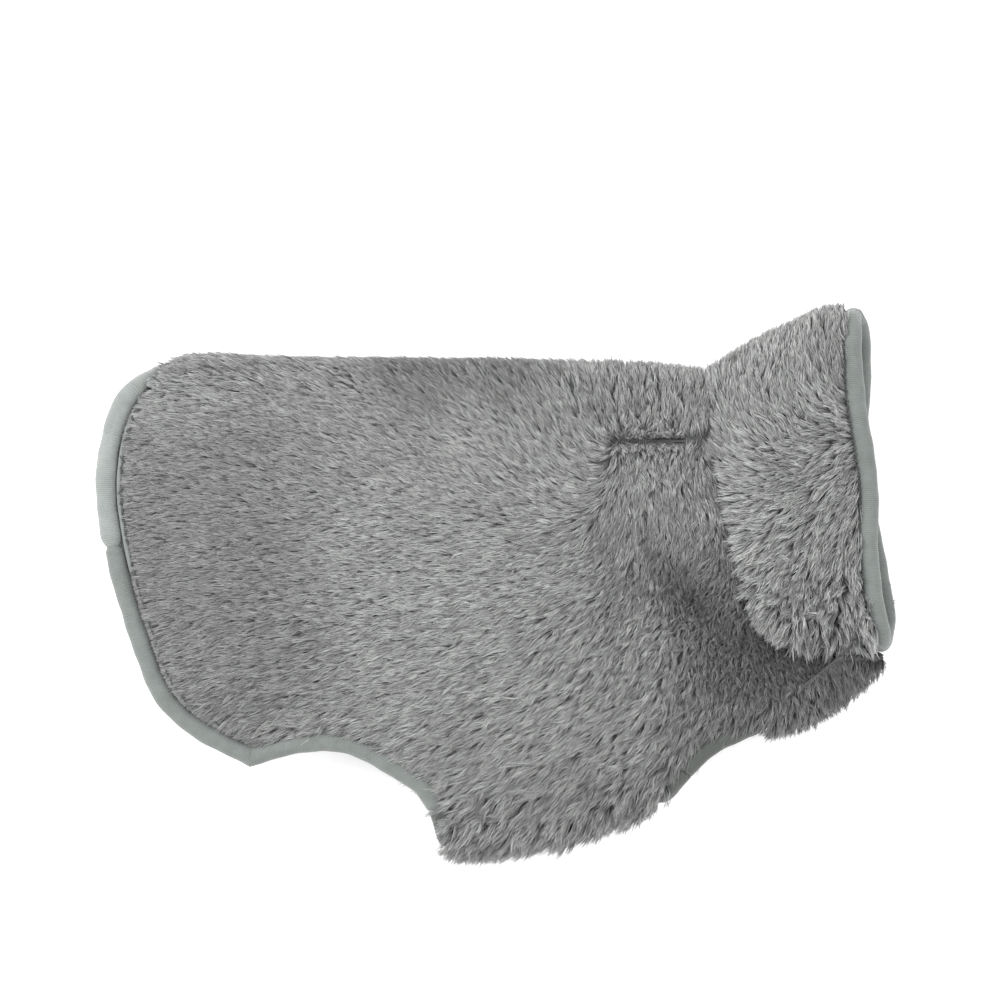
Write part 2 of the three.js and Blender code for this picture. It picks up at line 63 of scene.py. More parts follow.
# ---- Sizes of the coat, as the part has them ----
NAPE_X, SPINE_Y = 103.0, 111.0
TAIL_X = NAPE_X - 303.0
NAPE = (NAPE_X, SPINE_Y - 5)
TAIL_TOP = (TAIL_X + 32, SPINE_Y - 2)
HEM_CORNER = (TAIL_X + 76, SPINE_Y - 204)
BELLY_REAR = (NAPE_X - 133, SPINE_Y - 245)
BELLY_FRONT = (NAPE_X - 17, SPINE_Y - 223)
CHEST_REAR = (NAPE_X + 28, SPINE_Y - 188)
MOUTH_TOP = (NAPE_X + 79, SPINE_Y - 5 + 31)
THROAT = (MOUTH_TOP[0] + 15, MOUTH_TOP[1] - 174)
SLOT = (NAPE_X - 29, SPINE_Y - 41)
SLOT_HALF = 23.0
LAYER = 10.8
Z_MID = 19.8
FOLD_R = 19.8
EDGE_R = 5.0
BINDING = 10.0
EDGE_TURN = Z_MID - LAYER / 2
FLAP_LIFT = 14.1
RAMP = 18.0
MOUND_MARGIN = 6.0
FLAP_LENGTH, FLAP_TAPER, FLAP_ROUND, FAR_OVERLAP = 62.0, 11.0, 14.0, 40.0
FAR_LEG, FAR_FLANK, THROAT_SEAM = 0.42, 0.62, 0.74
HEM_JOIN = 0.56

# ---- Sizes of the pile ----
PILE_DEPTH = 2.7                 # from the backing to the tips of the lying tufts
SKIN_R = FOLD_R - PILE_DEPTH     # radius of the backing round a fold
SKIN_Z = Z_MID + SKIN_R          # height of the upper backing at its edges
SKIN_THICK = 1.4
FLOOR_CLEAR = 0.35
LINING_GAP = 2.6                 # from the face of the backing to the face of the lining
LINING_THICK = 0.9

# The part is centred on its own box: the slot's front bar tack shows by how much.
tack_low, tack_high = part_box("slot_tack_front")
TACK_PLACE = (SLOT[0] + SLOT_HALF - 1.0, SLOT[1])
SHIFT = np.array([(tack_low[k] + tack_high[k]) / 2 / MM - TACK_PLACE[k] for k in (0, 1)])


# ---- Lines in plan ----
def catmull(knots, per=24):
    """The smooth line through the knots, with the end knots doubled."""
    knots = np.asarray(knots, float)
    runs = []
    last = len(knots) - 1
    t = np.linspace(0, 1, per, endpoint=False)[:, None]
    for i in range(last):
        p0, p1 = knots[max(i - 1, 0)], knots[i]
        p2, p3 = knots[i + 1], knots[min(i + 2, last)]
        v0, v1 = (p2 - p0) / 2, (p3 - p1) / 2
        runs.append((2 * p1 - 2 * p2 + v0 + v1) * t**3 + (3 * p2 - 3 * p1 - 2 * v0 - v1) * t**2
                    + v0 * t + p1)
    runs.append(knots[-1:])
    return np.vstack(runs)


def spaced(points, step):
    """The same line with points one step apart."""
    lengths = np.r_[0, np.cumsum(np.linalg.norm(np.diff(points, axis=0), axis=1))]
    count = max(4, int(round(lengths[-1] / step)))
    marks = np.linspace(0, lengths[-1], count + 1)
    return np.stack([np.interp(marks, lengths, points[:, k]) for k in range(points.shape[1])], 1)


def edge(start, end, bows):
    """A line between two corners. A bow is its share of the way and how far it lies outside."""
    a, b = np.array(start, float), np.array(end, float)
    way = b - a
    left = np.array([-way[1], way[0]])
    knots = [a] + [a + share * way + bow * left for share, bow in bows] + [b]
    return spaced(catmull(knots), 2.0)


def tangents(points):
    ahead = np.roll(points, -1, axis=0)
    behind = np.roll(points, 1, axis=0)
    ahead[-1], behind[0] = points[-1], points[0]
    way = ahead - behind
    return way / np.maximum(np.linalg.norm(way, axis=1, keepdims=True), 1e-9)


def inset(points, distance):
    t = tangents(points)
    return points + distance * np.stack([t[:, 1], -t[:, 0]], 1)


def gap_to(a, b, places):
    """From the nearest point of a straight run to each place."""
    way = b - a
    share = np.clip((places - a) @ way / max(way @ way, 1e-9), 0, 1)
    return places - a - share[:, None] * way


def distance_to(line, places):
    """Distance in plan from each place to the line."""
    best = np.full(len(places), np.inf)
    for a, b in zip(line[:-1], line[1:]):
        best = np.minimum(best, np.linalg.norm(gap_to(a, b, places), axis=1))
    return best


spine = edge(TAIL_TOP, NAPE, [(.07, .019), (.3, .017), (.6, .016), (.88, .011)])
collar_top = edge(NAPE, MOUTH_TOP, [(.11, .014), (.31, .056), (.51, .072), (.77, .087), (.925, .05)])
mouth_lie = edge(MOUTH_TOP, THROAT, [(.06, -.006), (.15, -.012), (.28, -.012), (.5, .002),
                                     (.7, -.014), (.84, -.01), (.94, .002)])
mouth_far = edge(MOUTH_TOP, THROAT, [(.07, .028), (.21, .019), (.36, 0), (.53, 0), (.76, .021), (.9, .031)])
chest = edge(THROAT, CHEST_REAR, [(.13, .06), (.3, .086), (.62, .118), (.86, .07)])
leg = edge(CHEST_REAR, BELLY_FRONT, [(.2, -.056), (.42, -.104), (.73, -.066)])
belly = edge(BELLY_FRONT, BELLY_REAR, [(.22, .044), (.49, .08), (.87, .058)])
flank = edge(BELLY_REAR, HEM_CORNER,
             [(.1, -.127), (.2, -.202), (.33, -.227), (.5, -.249), (.67, -.227), (.84, -.131)])
hem = edge(HEM_CORNER, TAIL_TOP,
           [(.106, .125), (.21, .192), (.36, .218), (.55, .232), (.73, .22), (.87, .172), (.963, .102)])
neck = edge(NAPE, THROAT, [(.085, -.035), (.21, -.11), (.35, -.166), (.52, -.231), (.7, -.266),
                           (.84, -.216), (.93, -.11)])
for line in (spine, collar_top, mouth_lie, mouth_far, chest, leg, belly, flank, hem, neck):
    line += SHIFT
valley = catmull([(80, 14), (102, -8), (126, -27), (150, -41), (174, -48)]) + SHIFT
throat_fold = neck[int(round(len(neck) * THROAT_SEAM)):][::-1]

fold_way = (belly[0] - belly[-1]) / np.linalg.norm(belly[0] - belly[-1])
fold_in = np.array([-fold_way[1], fold_way[0]])
flap_depth = FOLD_R + FLAP_LENGTH
belly_length = float(np.linalg.norm(belly[0] - belly[-1]))


def flap_point(corner, along, inwards):
    return corner + along * fold_way + inwards * fold_in


def flap_side(corner, side):
    bulge = FLAP_ROUND * (1 - math.sqrt(.5))
    return [corner, flap_point(corner, side * FLAP_TAPER / 2, flap_depth / 2),
            flap_point(corner, side * FLAP_TAPER, flap_depth - FLAP_ROUND),
            flap_point(corner, side * (FLAP_TAPER + bulge), flap_depth - bulge),
            flap_point(corner, side * (FLAP_TAPER + FLAP_ROUND), flap_depth)]


flap_sides = spaced(catmull(flap_side(belly[-1], 1) + flap_side(belly[0], -1)[::-1]), 2.0)
leg_cut, flank_cut = int(round(len(leg) * FAR_LEG)), int(round(len(flank) * FAR_FLANK))
far_middle = flap_point(belly[-1], belly_length / 2, flap_depth - FAR_OVERLAP)
far_start, far_end = leg[leg_cut], flank[flank_cut]
far_way = far_end - far_start
far_bow = float((far_middle - far_start) @ np.array([-far_way[1], far_way[0]]) / (far_way @ far_way))
far_edge = edge(far_start, far_end, [(.12, far_bow * .55), (.5, far_bow), (.86, far_bow * .6)])
far_leg, far_flank = leg[:leg_cut + 1], flank[flank_cut:]


# ---- The height of each layer ----
def smooth(value, low, high):
    t = np.clip((value - low) / (high - low), 0, 1)
    return t * t * (3 - 2 * t)


def inside(loop, places):
    """Which places lie inside the closed loop."""
    found = np.zeros(len(places), bool)
    x, y = places[:, 0], places[:, 1]
    for (ax, ay), (bx, by) in zip(loop, np.roll(loop, -1, axis=0)):
        if ay == by:
            continue
        crosses = (ay > y) != (by > y)
        found ^= crosses & (x < (bx - ax) * (y - ay) / (by - ay) + ax)
    return found


def waves(places, length, seed):
    """Soft unevenness in plan, from -1 to 1, with that wavelength."""
    dice = np.random.default_rng(seed)
    total = np.zeros(len(places))
    for _ in range(7):
        turn, phase = dice.uniform(0, math.tau, 2)
        scale = dice.uniform(.7, 1.5) * math.tau / length
        total += np.sin(scale * (places @ [math.cos(turn), math.sin(turn)]) + phase)
    return total / 4.5


ALL_NEAR = [spine, collar_top, mouth_lie, chest, leg, belly, flank, hem]
LOFT, COLLAR_LOFT = 4.0, 3.0     # how full the middle of the coat lies, and the collar on top
LOFT_REACH = 46.0                # from a fold to where the cloth lies full
COLLAR_ROLL = 1.6
BOUND_DIP = 2.2                  # how far the cloth is drawn down beside a binding
SEAM_DIP, SEAM_CREST = 3.4, 3.4  # the neck seam's valley and the roll of the collar beside it
SEAM_DEEPER = 3.6                # how much deeper the valley gets towards the chest
VALLEY_DIP, VALLEY_WIDTH = 4.5, 13.0
SLOT_DIP, SLOT_WIDTH = 4.2, 1.9
WRINKLE, FINE_WRINKLE = 1.2, .5


def neck_side(places):
    """Signed distance from the neck seam: positive on the collar."""
    nearest = np.full(len(places), np.inf)
    side = np.ones(len(places))
    for a, b in zip(neck[:-1], neck[1:]):
        way = b - a
        gap = gap_to(a, b, places)
        d = np.linalg.norm(gap, axis=1)
        closer = d < nearest
        nearest = np.where(closer, d, nearest)
        side = np.where(closer, np.sign(way[0] * gap[:, 1] - way[1] * gap[:, 0]), side)
    return nearest * side


def near_height(places):
    """Height of the upper side's backing: soft loft, seam valleys, slot and wrinkles."""
    depth = np.min([distance_to(line, places) for line in ALL_NEAR], axis=0)
    bound = np.min([distance_to(line, places) for line in (hem, flank, leg, mouth_lie)], axis=0)
    seam = neck_side(places)
    collar = smooth(seam, -1, 5)
    loft = smooth(depth, FOLD_R, FOLD_R + LOFT_REACH)
    height = SKIN_Z + loft * (LOFT + COLLAR_LOFT * collar) + COLLAR_ROLL * collar * smooth(depth, 12, 22)
    height -= BOUND_DIP * (1 - smooth(bound, BINDING - 2, BINDING + 7))
    low = smooth(-places[:, 1], -10, 45)
    height += SEAM_CREST * low * np.where(seam > 0, 1, 0) * smooth(seam, .5, 5) * (1 - smooth(seam, 12, 30))
    height -= (SEAM_DIP + SEAM_DEEPER * low) * np.exp(-(seam / (2.2 + 3 * low))**2)
    dip = np.exp(-(distance_to(valley, places) / VALLEY_WIDTH)**2) * (1 - collar)
    height -= VALLEY_DIP * dip * smooth(depth, 10, 22)
    slot = np.abs(places - SHIFT - SLOT)
    slot_end = 1 - smooth(slot[:, 0], SLOT_HALF - 7, SLOT_HALF - 1)
    height -= SLOT_DIP * np.exp(-(slot[:, 1] / SLOT_WIDTH)**2) * slot_end
    front = smooth(places[:, 0], 20, 80) * (1 - collar)
    height += (WRINKLE + 1.8 * front) * waves(places, 52, 11) * smooth(depth, 14, 40)
    height += FINE_WRINKLE * waves(places, 17, 12) * (.5 + front)
    return height


def mound(places):
    margin = RAMP + MOUND_MARGIN
    low_x, high_x = flap_sides[:, 0].min() - margin, flap_sides[:, 0].max() + margin
    high_y = flap_sides[:, 1].max() + margin
    depth = np.minimum(np.minimum(places[:, 0] - low_x, high_x - places[:, 0]), high_y - places[:, 1])
    return FLAP_LIFT * smooth(depth, 0, RAMP)


def far_height(places):
    return Z_MID - SKIN_R + mound(places)


# ---- Meshes ----
def place_in_scene(name, data):
    piece = bpy.data.objects.new(name, data)
    bpy.context.scene.collection.objects.link(piece)
    return piece


def sew(name, verts, face_sets, uv=None, marks=None):
    """A mesh from points in millimetres and arrays of faces, with its loose values per point."""
    mesh = bpy.data.meshes.new(name)
    corners = np.concatenate([faces.ravel() for faces in face_sets]).astype(np.int32)
    sizes = np.concatenate([np.full(len(faces), faces.shape[1]) for faces in face_sets])
    starts = np.r_[0, np.cumsum(sizes)[:-1]].astype(np.int32)
    mesh.vertices.add(len(verts))
    mesh.vertices.foreach_set("co", (np.asarray(verts) * MM).astype(np.float32).ravel())
    mesh.loops.add(len(corners))
    mesh.loops.foreach_set("vertex_index", corners)
    mesh.polygons.add(len(starts))
    mesh.polygons.foreach_set("loop_start", starts)
    mesh.update(calc_edges=True)
    mesh.polygons.foreach_set("use_smooth", np.ones(len(starts), bool))
    if uv is not None:
        mesh.uv_layers.new(name="OFBake").data.foreach_set("uv", uv.astype(np.float32).ravel())
    for label, values in (marks or {}).items():
        mesh.attributes.new(label, "FLOAT", "POINT").data.foreach_set("value", values.astype(np.float32))
    return place_in_scene(name, mesh)


def face_cross(verts, tris):
    """Each triangle's normal, twice as long as its area."""
    return np.cross(verts[tris[:, 1]] - verts[tris[:, 0]], verts[tris[:, 2]] - verts[tris[:, 0]])


def vertex_normals(verts, tris):
    normals = np.zeros_like(verts)
    cross = face_cross(verts, tris)
    for k in range(3):
        np.add.at(normals, tris[:, k], cross)
    return normals / np.maximum(np.linalg.norm(normals, axis=1, keepdims=True), 1e-9)


def quads_of(rows, cols, wrap=False):
    """Faces of a grid of points, row after row, closed round the columns if it wraps."""
    r, c = np.meshgrid(np.arange(rows - 1), np.arange(cols if wrap else cols - 1), indexing="ij")
    a, b = r * cols + c, r * cols + (c + 1) % cols
    return np.stack([a, b, b + cols, a + cols], -1).reshape(-1, 4)


def halved(quads):
    return np.vstack([quads[:, [0, 1, 2]], quads[:, [0, 2, 3]]])


def carries_on(first, second):
    """Whether the second line goes straight on from where the first one ends."""
    straight = tangents(first)[-1] @ tangents(second)[0] > .9
    return straight and np.linalg.norm(first[-1] - second[0]) < 1.0


def panel_loop(runs):
    """The panel's own edge: each run inset by its distance, without what another run trims."""
    kept = []
    for i, (line, distance) in enumerate(runs):
        moved = inset(line, distance)
        good = distance_to(line, moved) > distance - .15
        for j, (other, gap) in enumerate(runs):
            if j != i and not carries_on(other, line):
                good &= distance_to(other, moved) > gap - .05
        kept.append(moved[good])
    return np.vstack([run for run in kept if len(run)])


def panel(runs, height, cell=3.0, upside_down=False):
    """A panel's backing: a net of triangles inside its loop, at that height."""
    loop = panel_loop(runs)
    low, high = loop.min(0), loop.max(0)
    xs, ys = np.arange(low[0], high[0], cell), np.arange(low[1], high[1], cell * .866)
    gx, gy = np.meshgrid(xs, ys)
    gx = gx + (np.arange(len(ys)) % 2)[:, None] * cell / 2
    grid = np.stack([gx.ravel(), gy.ravel()], 1)
    grid = grid[inside(loop, grid)]
    grid = grid[distance_to(np.vstack([loop, loop[:1]]), grid) > cell * .5]
    plan = np.vstack([loop, grid])
    ring = list(range(len(loop)))
    verts2, _, faces, _, _, _ = delaunay_2d_cdt([tuple(p) for p in plan], [], [ring], 1, 1e-5)
    verts2 = np.array([tuple(v) for v in verts2])
    tris = np.array(faces, int)
    a, b, c = verts2[tris[:, 0]], verts2[tris[:, 1]], verts2[tris[:, 2]]
    turned = np.cross(b - a, c - a) < 0
    tris[turned] = tris[turned][:, ::-1]
    if upside_down:
        tris = tris[:, ::-1]
    verts = np.column_stack([verts2, height(verts2)])
    return verts, tris


FOLD_ROWS = 19                   # points round a fold's half circle


def fold_skin(line, keep):
    """The backing of a fold: half round, from the upper side down to the lower one."""
    middle = inset(line, FOLD_R)
    out = -(middle - line) / np.linalg.norm(middle - line, axis=1, keepdims=True)
    turns = np.linspace(0, math.pi, FOLD_ROWS)
    verts = [np.column_stack([middle + math.sin(a) * SKIN_R * out,
                              np.full(len(line), Z_MID + math.cos(a) * SKIN_R)]) for a in turns]
    verts = np.array(verts).transpose(1, 0, 2).reshape(-1, 3)
    tris = halved(quads_of(len(line), len(turns)))
    good = keep(verts)
    tris = tris[good[tris].all(1)]
    cross = face_cross(verts, tris)
    centre = np.column_stack([np.repeat(middle, len(turns), 0), np.full(len(verts), Z_MID)])
    outward = ((verts[tris[:, 0]] - centre[tris[:, 0]]) * cross).sum(1) > 0
    tris[~outward] = tris[~outward][:, ::-1]
    used, tris = np.unique(tris, return_inverse=True)
    return verts[used], tris.reshape(-1, 3)


# ---- How the pile was brushed: x, y, direction, length, shade, curl ----
# In these tables the shade column is painted light and shade: the nap's sheen and the fall of the light,
# lighter or darker from place to place.
BODY_BRUSH = np.array([
    (-169, 100, 168, 9, .95, .1), (-152, 108, 172, 10, .95, .15), (-99, 105, 160, 8, .88, .1),
    (-39, 103, 146, 8.5, .54, .15), (11, 103, 128, 9, .56, .2), (61, 105, 100, 9, .85, .3),
    (96, 103, 92, 9, .95, .3), (-179, 55, 180, 8, .72, .15), (-124, 60, 168, 8.5, .7, .15),
    (-64, 70, 160, 8.5, .9, .15), (-9, 65, 152, 8.5, .92, .15), (26, 72, 132, 9, .9, .25),
    (38, 85, 115, 9, .88, .3), (76, 90, 90, 9, .95, .35), (74, 52, 272, 9.5, 1.15, .25),
    (96, 40, 285, 10, 1.02, .35), (38, 48, 150, 9, .95, .25), (60, 32, 262, 9.5, .98, .25),
    (-174, 10, 185, 8.5, .72, .15), (-119, 5, 178, 8.5, .7, .2), (-59, 10, 182, 8.5, 1.02, .15),
    (-9, 10, 185, 9, 1.1, .15), (35, 12, 195, 9, 1.02, .25), (84, 18, 262, 9.5, .88, .35),
    (-164, -40, 195, 9, .8, .2), (-109, -40, 190, 9.5, .76, .2), (-49, -40, 192, 9.5, 1.1, .2),
    (1, -35, 200, 10, 1.14, .2), (36, -36, 222, 10.5, 1.08, .35), (72, -28, 232, 9, 1.0, .5),
    (100, -12, 245, 6.5, .5, .95), (92, 6, 245, 7.5, .66, .7), (-134, -80, 212, 10.5, .85, .3),
    (-84, -75, 200, 10.5, .95, .25), (-34, -90, 205, 11, 1.05, .25), (11, -80, 208, 11, 1.05, .25),
    (61, -75, 215, 11, 1.1, .35), (-19, -125, 225, 12.5, .9, .4), (21, -125, 228, 12.5, .88, .4),
    (66, -110, 232, 12.5, .88, .4), (101, -95, 245, 12, .8, .4), (131, -70, 240, 11, .56, .4),
    (161, -55, 275, 10, .54, .4), (121, -38, 262, 7, .42, .85), (151, -46, 285, 7, .36, .75)])
COLLAR_BRUSH = np.array([
    (121, 110, 82, 8, 1.22, .1), (146, 127, 78, 8, 1.2, .1), (172, 130, 88, 8, 1.0, .2),
    (112, 90, 96, 9, 1.08, .15), (138, 97, 86, 9, 1.08, .25), (166, 106, 108, 9, 1.0, .25),
    (114, 68, 128, 9, 1.05, .2), (141, 78, 130, 9, .92, .5), (168, 84, 150, 9.5, 1.02, .35),
    (119, 50, 165, 9.5, 1.12, .2), (143, 56, 180, 10, 1.05, .35), (168, 62, 214, 10.5, 1.15, .35),
    (122, 30, 192, 10, 1.2, .2), (146, 34, 206, 10.5, 1.15, .3), (170, 40, 236, 10.5, 1.1, .35),
    (126, 10, 212, 10, 1.15, .3), (148, 14, 222, 11, 1.15, .4), (169, 20, 246, 10.5, 1.05, .4),
    (129, -8, 230, 11, 1.16, .75), (150, -8, 246, 11, 1.08, .85), (169, 0, 268, 11, 1.0, .8),
    (140, -24, 248, 12.5, 1.2, .9), (160, -30, 266, 12.5, 1.2, .9), (180, -26, 290, 12, 1.1, .8)])
TAIL_BRUSH = np.array([
    (-172, 94, 186, 5.0, .95, .1), (-165, 104, 176, 6.0, .95, .1), (-160, 107, 150, 6.0, 1.0, .1)])
FRINGE_BRUSH = np.array([
    (196, -4, 20, 3.5, .9, .4), (197, -18, -5, 5.0, .9, .5), (193, -34, -40, 5.0, .9, .5)])
SLOT_REACH = 9.0                 # how far above and below the leash slot the pile turns away from it
PART_REAR, PART_FRONT = (-18, -11), (15, 21)  # from its middle, where the parting begins and ends
BARE_REAR, BARE_FRONT = -15.5, 21.0           # between these, no tuft stands in its line
BARE_SEAM = 1.0                               # the same to each side of the neck seam
# How strong the painted shade is: the painted shadow under the collar, the shade in the neck seam and the
# shaded patch beside it.
COLLAR_SHADOW, SEAM_SHADE, PATCH_SHADE = .3, .42, .25
SHADED_PATCH, PATCH_SIZE = (98, -4), 12         # a patch of painted shade on the back, beside the seam


def hollow_shade(places, curl):
    """Painted shade on the pile: in the neck seam, a painted shadow in the dip under the collar, a patch
    beside the seam, and the pits between its locks.
    """
    seam = neck_side(places)
    collar_shadow = np.exp(-(distance_to(valley, places) / 7)**2) * (seam < 0)
    seam_shadow = np.exp(-(seam / np.where(seam > 0, 1.4, 3.0))**2) * (1 - smooth(places[:, 1], 78, 96))
    patch = np.exp(-(np.linalg.norm(places - SHIFT - SHADED_PATCH, axis=1) / PATCH_SIZE)**2)
    pits = smooth(waves(places, 9, 41) + .6 * waves(places, 4.5, 42), .35, 1.1)
    return (1 - COLLAR_SHADOW * collar_shadow) * (1 - SEAM_SHADE * seam_shadow) * (1 - PATCH_SHADE * patch) \
        * (1.04 - (.14 + .4 * np.minimum(curl, .9)) * pits)


def brushed(places, strokes, reach=14.0):
    """Direction, length, painted light and shade, and curl of the pile at each place."""
    gap = places[:, None] - SHIFT - strokes[None, :, :2]
    weight = 1 / ((gap**2).sum(2) + reach**2)**2
    weight /= weight.sum(1, keepdims=True)
    turn = np.radians(strokes[:, 2])
    way = weight @ np.stack([np.cos(turn), np.sin(turn)], 1)
    away = places - SHIFT - SLOT
    near = np.exp(-(away[:, 1] / SLOT_REACH)**2) * smooth(away[:, 0], *PART_REAR) \
        * (1 - smooth(away[:, 0], *PART_FRONT))
    turned = np.stack([.3 * np.sin(away[:, 0] / 2.3), np.where(away[:, 1] > 0, 1.0, -1.0)], 1)
    way = way * (1 - near)[:, None] + turned * near[:, None]
    way /= np.maximum(np.linalg.norm(way, axis=1, keepdims=True), 1e-9)
    length, shade, curl = (weight @ strokes[:, k] for k in (3, 4, 5))
    return way, length * (1 - .3 * near), shade * hollow_shade(places, curl), curl + .25 * near


# ---- Pile: tufts of tapered strands ----
SIDES = 3                        # corners of a strand's section
PIECE_TRIANGLES = 190000
FINE = (np.array([0.0, .5, 1.0]), np.array([.8, 1.0]))
LONG = (np.array([0.0, .38, .72, 1.0]), np.array([.75, 1.0, .72]))


def scatter(verts, tris, normals, count, dice):
    """That many even places on the backing, with the normal at each."""
    area = np.linalg.norm(face_cross(verts, tris), axis=1) / 2
    marks = (np.arange(count) + dice.uniform(0, 1, count)) / count * area.sum()
    chosen = tris[np.searchsorted(np.cumsum(area), marks).clip(0, len(tris) - 1)]
    r1, r2 = np.sqrt(dice.uniform(0, 1, count)), dice.uniform(0, 1, count)
    share = np.stack([1 - r1, r1 * (1 - r2), r1 * r2], 1)[:, :, None]
    normal = (normals[chosen] * share).sum(1)
    return (verts[chosen] * share).sum(1), normal / np.linalg.norm(normal, axis=1, keepdims=True)


def unit(v):
    return v / np.maximum(np.linalg.norm(v, axis=1, keepdims=True), 1e-9)


def over_the_fold(way, normal):
    """A direction in plan, carried over the curve of the surface."""
    flat = normal[:, :2]
    steep = np.linalg.norm(flat, axis=1, keepdims=True)
    outward = flat / np.maximum(steep, 1e-6)
    along = (way * outward).sum(1, keepdims=True)
    side = way - along * outward
    slope = np.column_stack([outward * normal[:, 2:3], -steep])
    return unit(np.column_stack([side, np.zeros(len(way))]) + along * slope)


def grow(name, skin, density, strokes, dice, tuft=.18, stout=.25, body="coat", bare=None, length=1.0,
         strand=FINE, rise=(5, 15), gather=(.3, .7), lively=1.0):
    """Tufts on a backing, as pieces of at most PIECE_TRIANGLES triangles. Returns the pieces.

    tuft is the spacing of the tufts as a share of their length, and rise is how steeply they
    stand, in degrees. gather is how far a strand's tip is drawn to the middle of its tuft, and
    lively is how much the strands differ in tone.
    """
    verts, tris = skin
    normals = vertex_normals(verts, tris)
    area = np.linalg.norm(face_cross(verts, tris), axis=1).sum() / 2
    finest = tuft * strokes[:, 3].min() * length
    heads, head_normal = scatter(verts, tris, normals, max(12, int(area / finest**2)), dice)
    reach = brushed(heads[:, :2], strokes)[1] * length
    good = dice.uniform(0, 1, len(heads)) < (finest / (tuft * reach))**2
    heads, head_normal = heads[good], head_normal[good]
    roots, normal = scatter(verts, tris, normals, int(area * density), dice)
    if bare is not None:
        good = ~bare(roots)
        roots, normal = roots[good], normal[good]
    tree = KDTree(len(heads))
    for i, head in enumerate(heads):
        tree.insert(head, i)
    tree.balance()
    own = np.array([tree.find(root)[1] for root in roots])

    way, reach, shade, curl = brushed(heads[:, :2], strokes)
    turn = waves(heads[:, :2], 15, 31) * (9 + 12 * curl) + waves(heads[:, :2], 6.5, 32) * (7 + 14 * curl) \
        + dice.normal(0, 1, len(heads)) * (3 + 24 * curl)
    c, s = np.cos(np.radians(turn))[:, None], np.sin(np.radians(turn))[:, None]
    way = np.hstack([c * way[:, :1] - s * way[:, 1:], s * way[:, :1] + c * way[:, 1:]])
    lie = over_the_fold(way, head_normal)
    reach = reach * dice.uniform(.82, 1.18, len(heads)) * length
    lift = np.radians(dice.uniform(*rise, len(heads)) + dice.uniform(2, 34, len(heads)) * curl)[:, None]
    bend = dice.normal(0, 1, len(heads))[:, None] * (.14 + .42 * curl[:, None])
    across = np.cross(head_normal, lie)
    tone = dice.uniform(0, 1, len(heads))

    count = len(roots)
    size = (reach[own] * dice.uniform(.72, 1.12, count))[:, None]
    start = unit(lie[own] * np.cos(lift[own] + .35) + normal * np.sin(lift[own] + .35)
                 + dice.normal(0, .1, (count, 3)))
    end = unit(lie[own] * np.cos(lift[own] - .25) + normal * np.sin(lift[own] - .25)
               + across[own] * bend[own] + dice.normal(0, .1, (count, 3)))
    room = edge_room(roots[:, :2], start[:, :2])
    size = np.minimum(size, np.maximum(room, 1.6)[:, None])
    pull = (heads[own] - roots) * (dice.uniform(*gather, (count, 1)) + .35 * curl[own][:, None])
    shares, girths = strand
    rings = []
    for t in shares:
        path = roots + size * (start * (t - .5 * t * t) + end * (.5 * t * t))
        path = path + pull * t**1.4 + across[own] * bend[own] * size * .22 * math.sin(math.pi * t)
        path[:, 2] = np.maximum(path[:, 2], FLOOR_CLEAR)
        rings.append(path)
    rings = np.array(rings)
    facing = unit(rings[-1] - rings[0])
    flat_side = unit(np.cross(facing, normal))
    top_side = np.cross(flat_side, facing)
    girth = stout * dice.uniform(.7, 1.25, count)[:, None]
    levels = len(girths)
    per = SIDES * levels + 1
    points = np.zeros((count, per, 3))
    for j in range(levels):
        for k in range(SIDES):
            a = math.tau * (k / SIDES) + math.pi / 2
            out = math.cos(a) * flat_side + .7 * math.sin(a) * top_side
            points[:, j * SIDES + k] = rings[j] + girth * girths[j] * out
    points[:, -1] = rings[-1]
    points[:, :, 2] = np.maximum(points[:, :, 2], FLOOR_CLEAR - .1)
    along = np.tile(np.r_[np.repeat(shares[:-1], SIDES), 1.0], (count, 1))
    contrast = lively * np.minimum(.95 + 1.1 * curl[own], 1.9)
    own_tone = .5 + (.4 * tone[own] + .6 * dice.uniform(0, 1, count) - .5) * contrast

    pieces = []
    order = np.argsort(roots[:, 0], kind="stable")
    triangles = 1 + SIDES * (2 * levels - 1)
    parts = max(1, math.ceil(count * triangles / PIECE_TRIANGLES))
    for i, part in enumerate(np.array_split(order, parts)):
        label = name if parts == 1 else f"{name}_{i + 1}"
        quads, ends, uv = strand_faces(len(part), shares)
        # Each strand carries the painted light and shade of its place, with its own tone and its height up
        # the strand.
        piece = sew(label, points[part].reshape(-1, 3), [ends, quads], uv, {
            "root_to_tip": along[part].ravel(),
            "strand_tone": np.repeat(own_tone[part], per),
            "painted_light_and_shade": np.repeat(shade[own][part], per)})
        piece.data.materials.append(PILE)
        if body:
            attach(piece, body)
        pieces.append(piece)
    return pieces


def edge_room(places, way):
    """How long a strand may be before it lies over the bound edge that it points to."""
    room = np.full(len(places), np.inf)
    corner = at_tail(places)
    for line, clear in ((hem, BINDING + .2), (mouth_lie, BINDING - .6)):
        gap = distance_to(line, places)
        ahead = distance_to(line, places + way)
        nearing = np.maximum(gap - ahead, .05)
        strip = clear + 2.4 * seam_strip(places) if line is hem else clear
        room = np.minimum(room, np.where((ahead < gap) & ~corner, (gap - strip) / nearing, np.inf))
    return room


def at_tail(places):
    """The coat's tail corner, where the pile runs out over the end of the hem's binding."""
    return (places[:, 0] < TAIL_X + 64) & (places[:, 1] - SHIFT[1] > SPINE_Y - 21)


def seam_strip(places):
    """Where the hem's seam allowance shows beside the binding: 1 there, else 0."""
    y = places[:, 1] - SHIFT[1]
    return smooth(y, -2, 10) * (1 - smooth(y, 58, 74)) * (places[:, 0] < TAIL_X + 60)


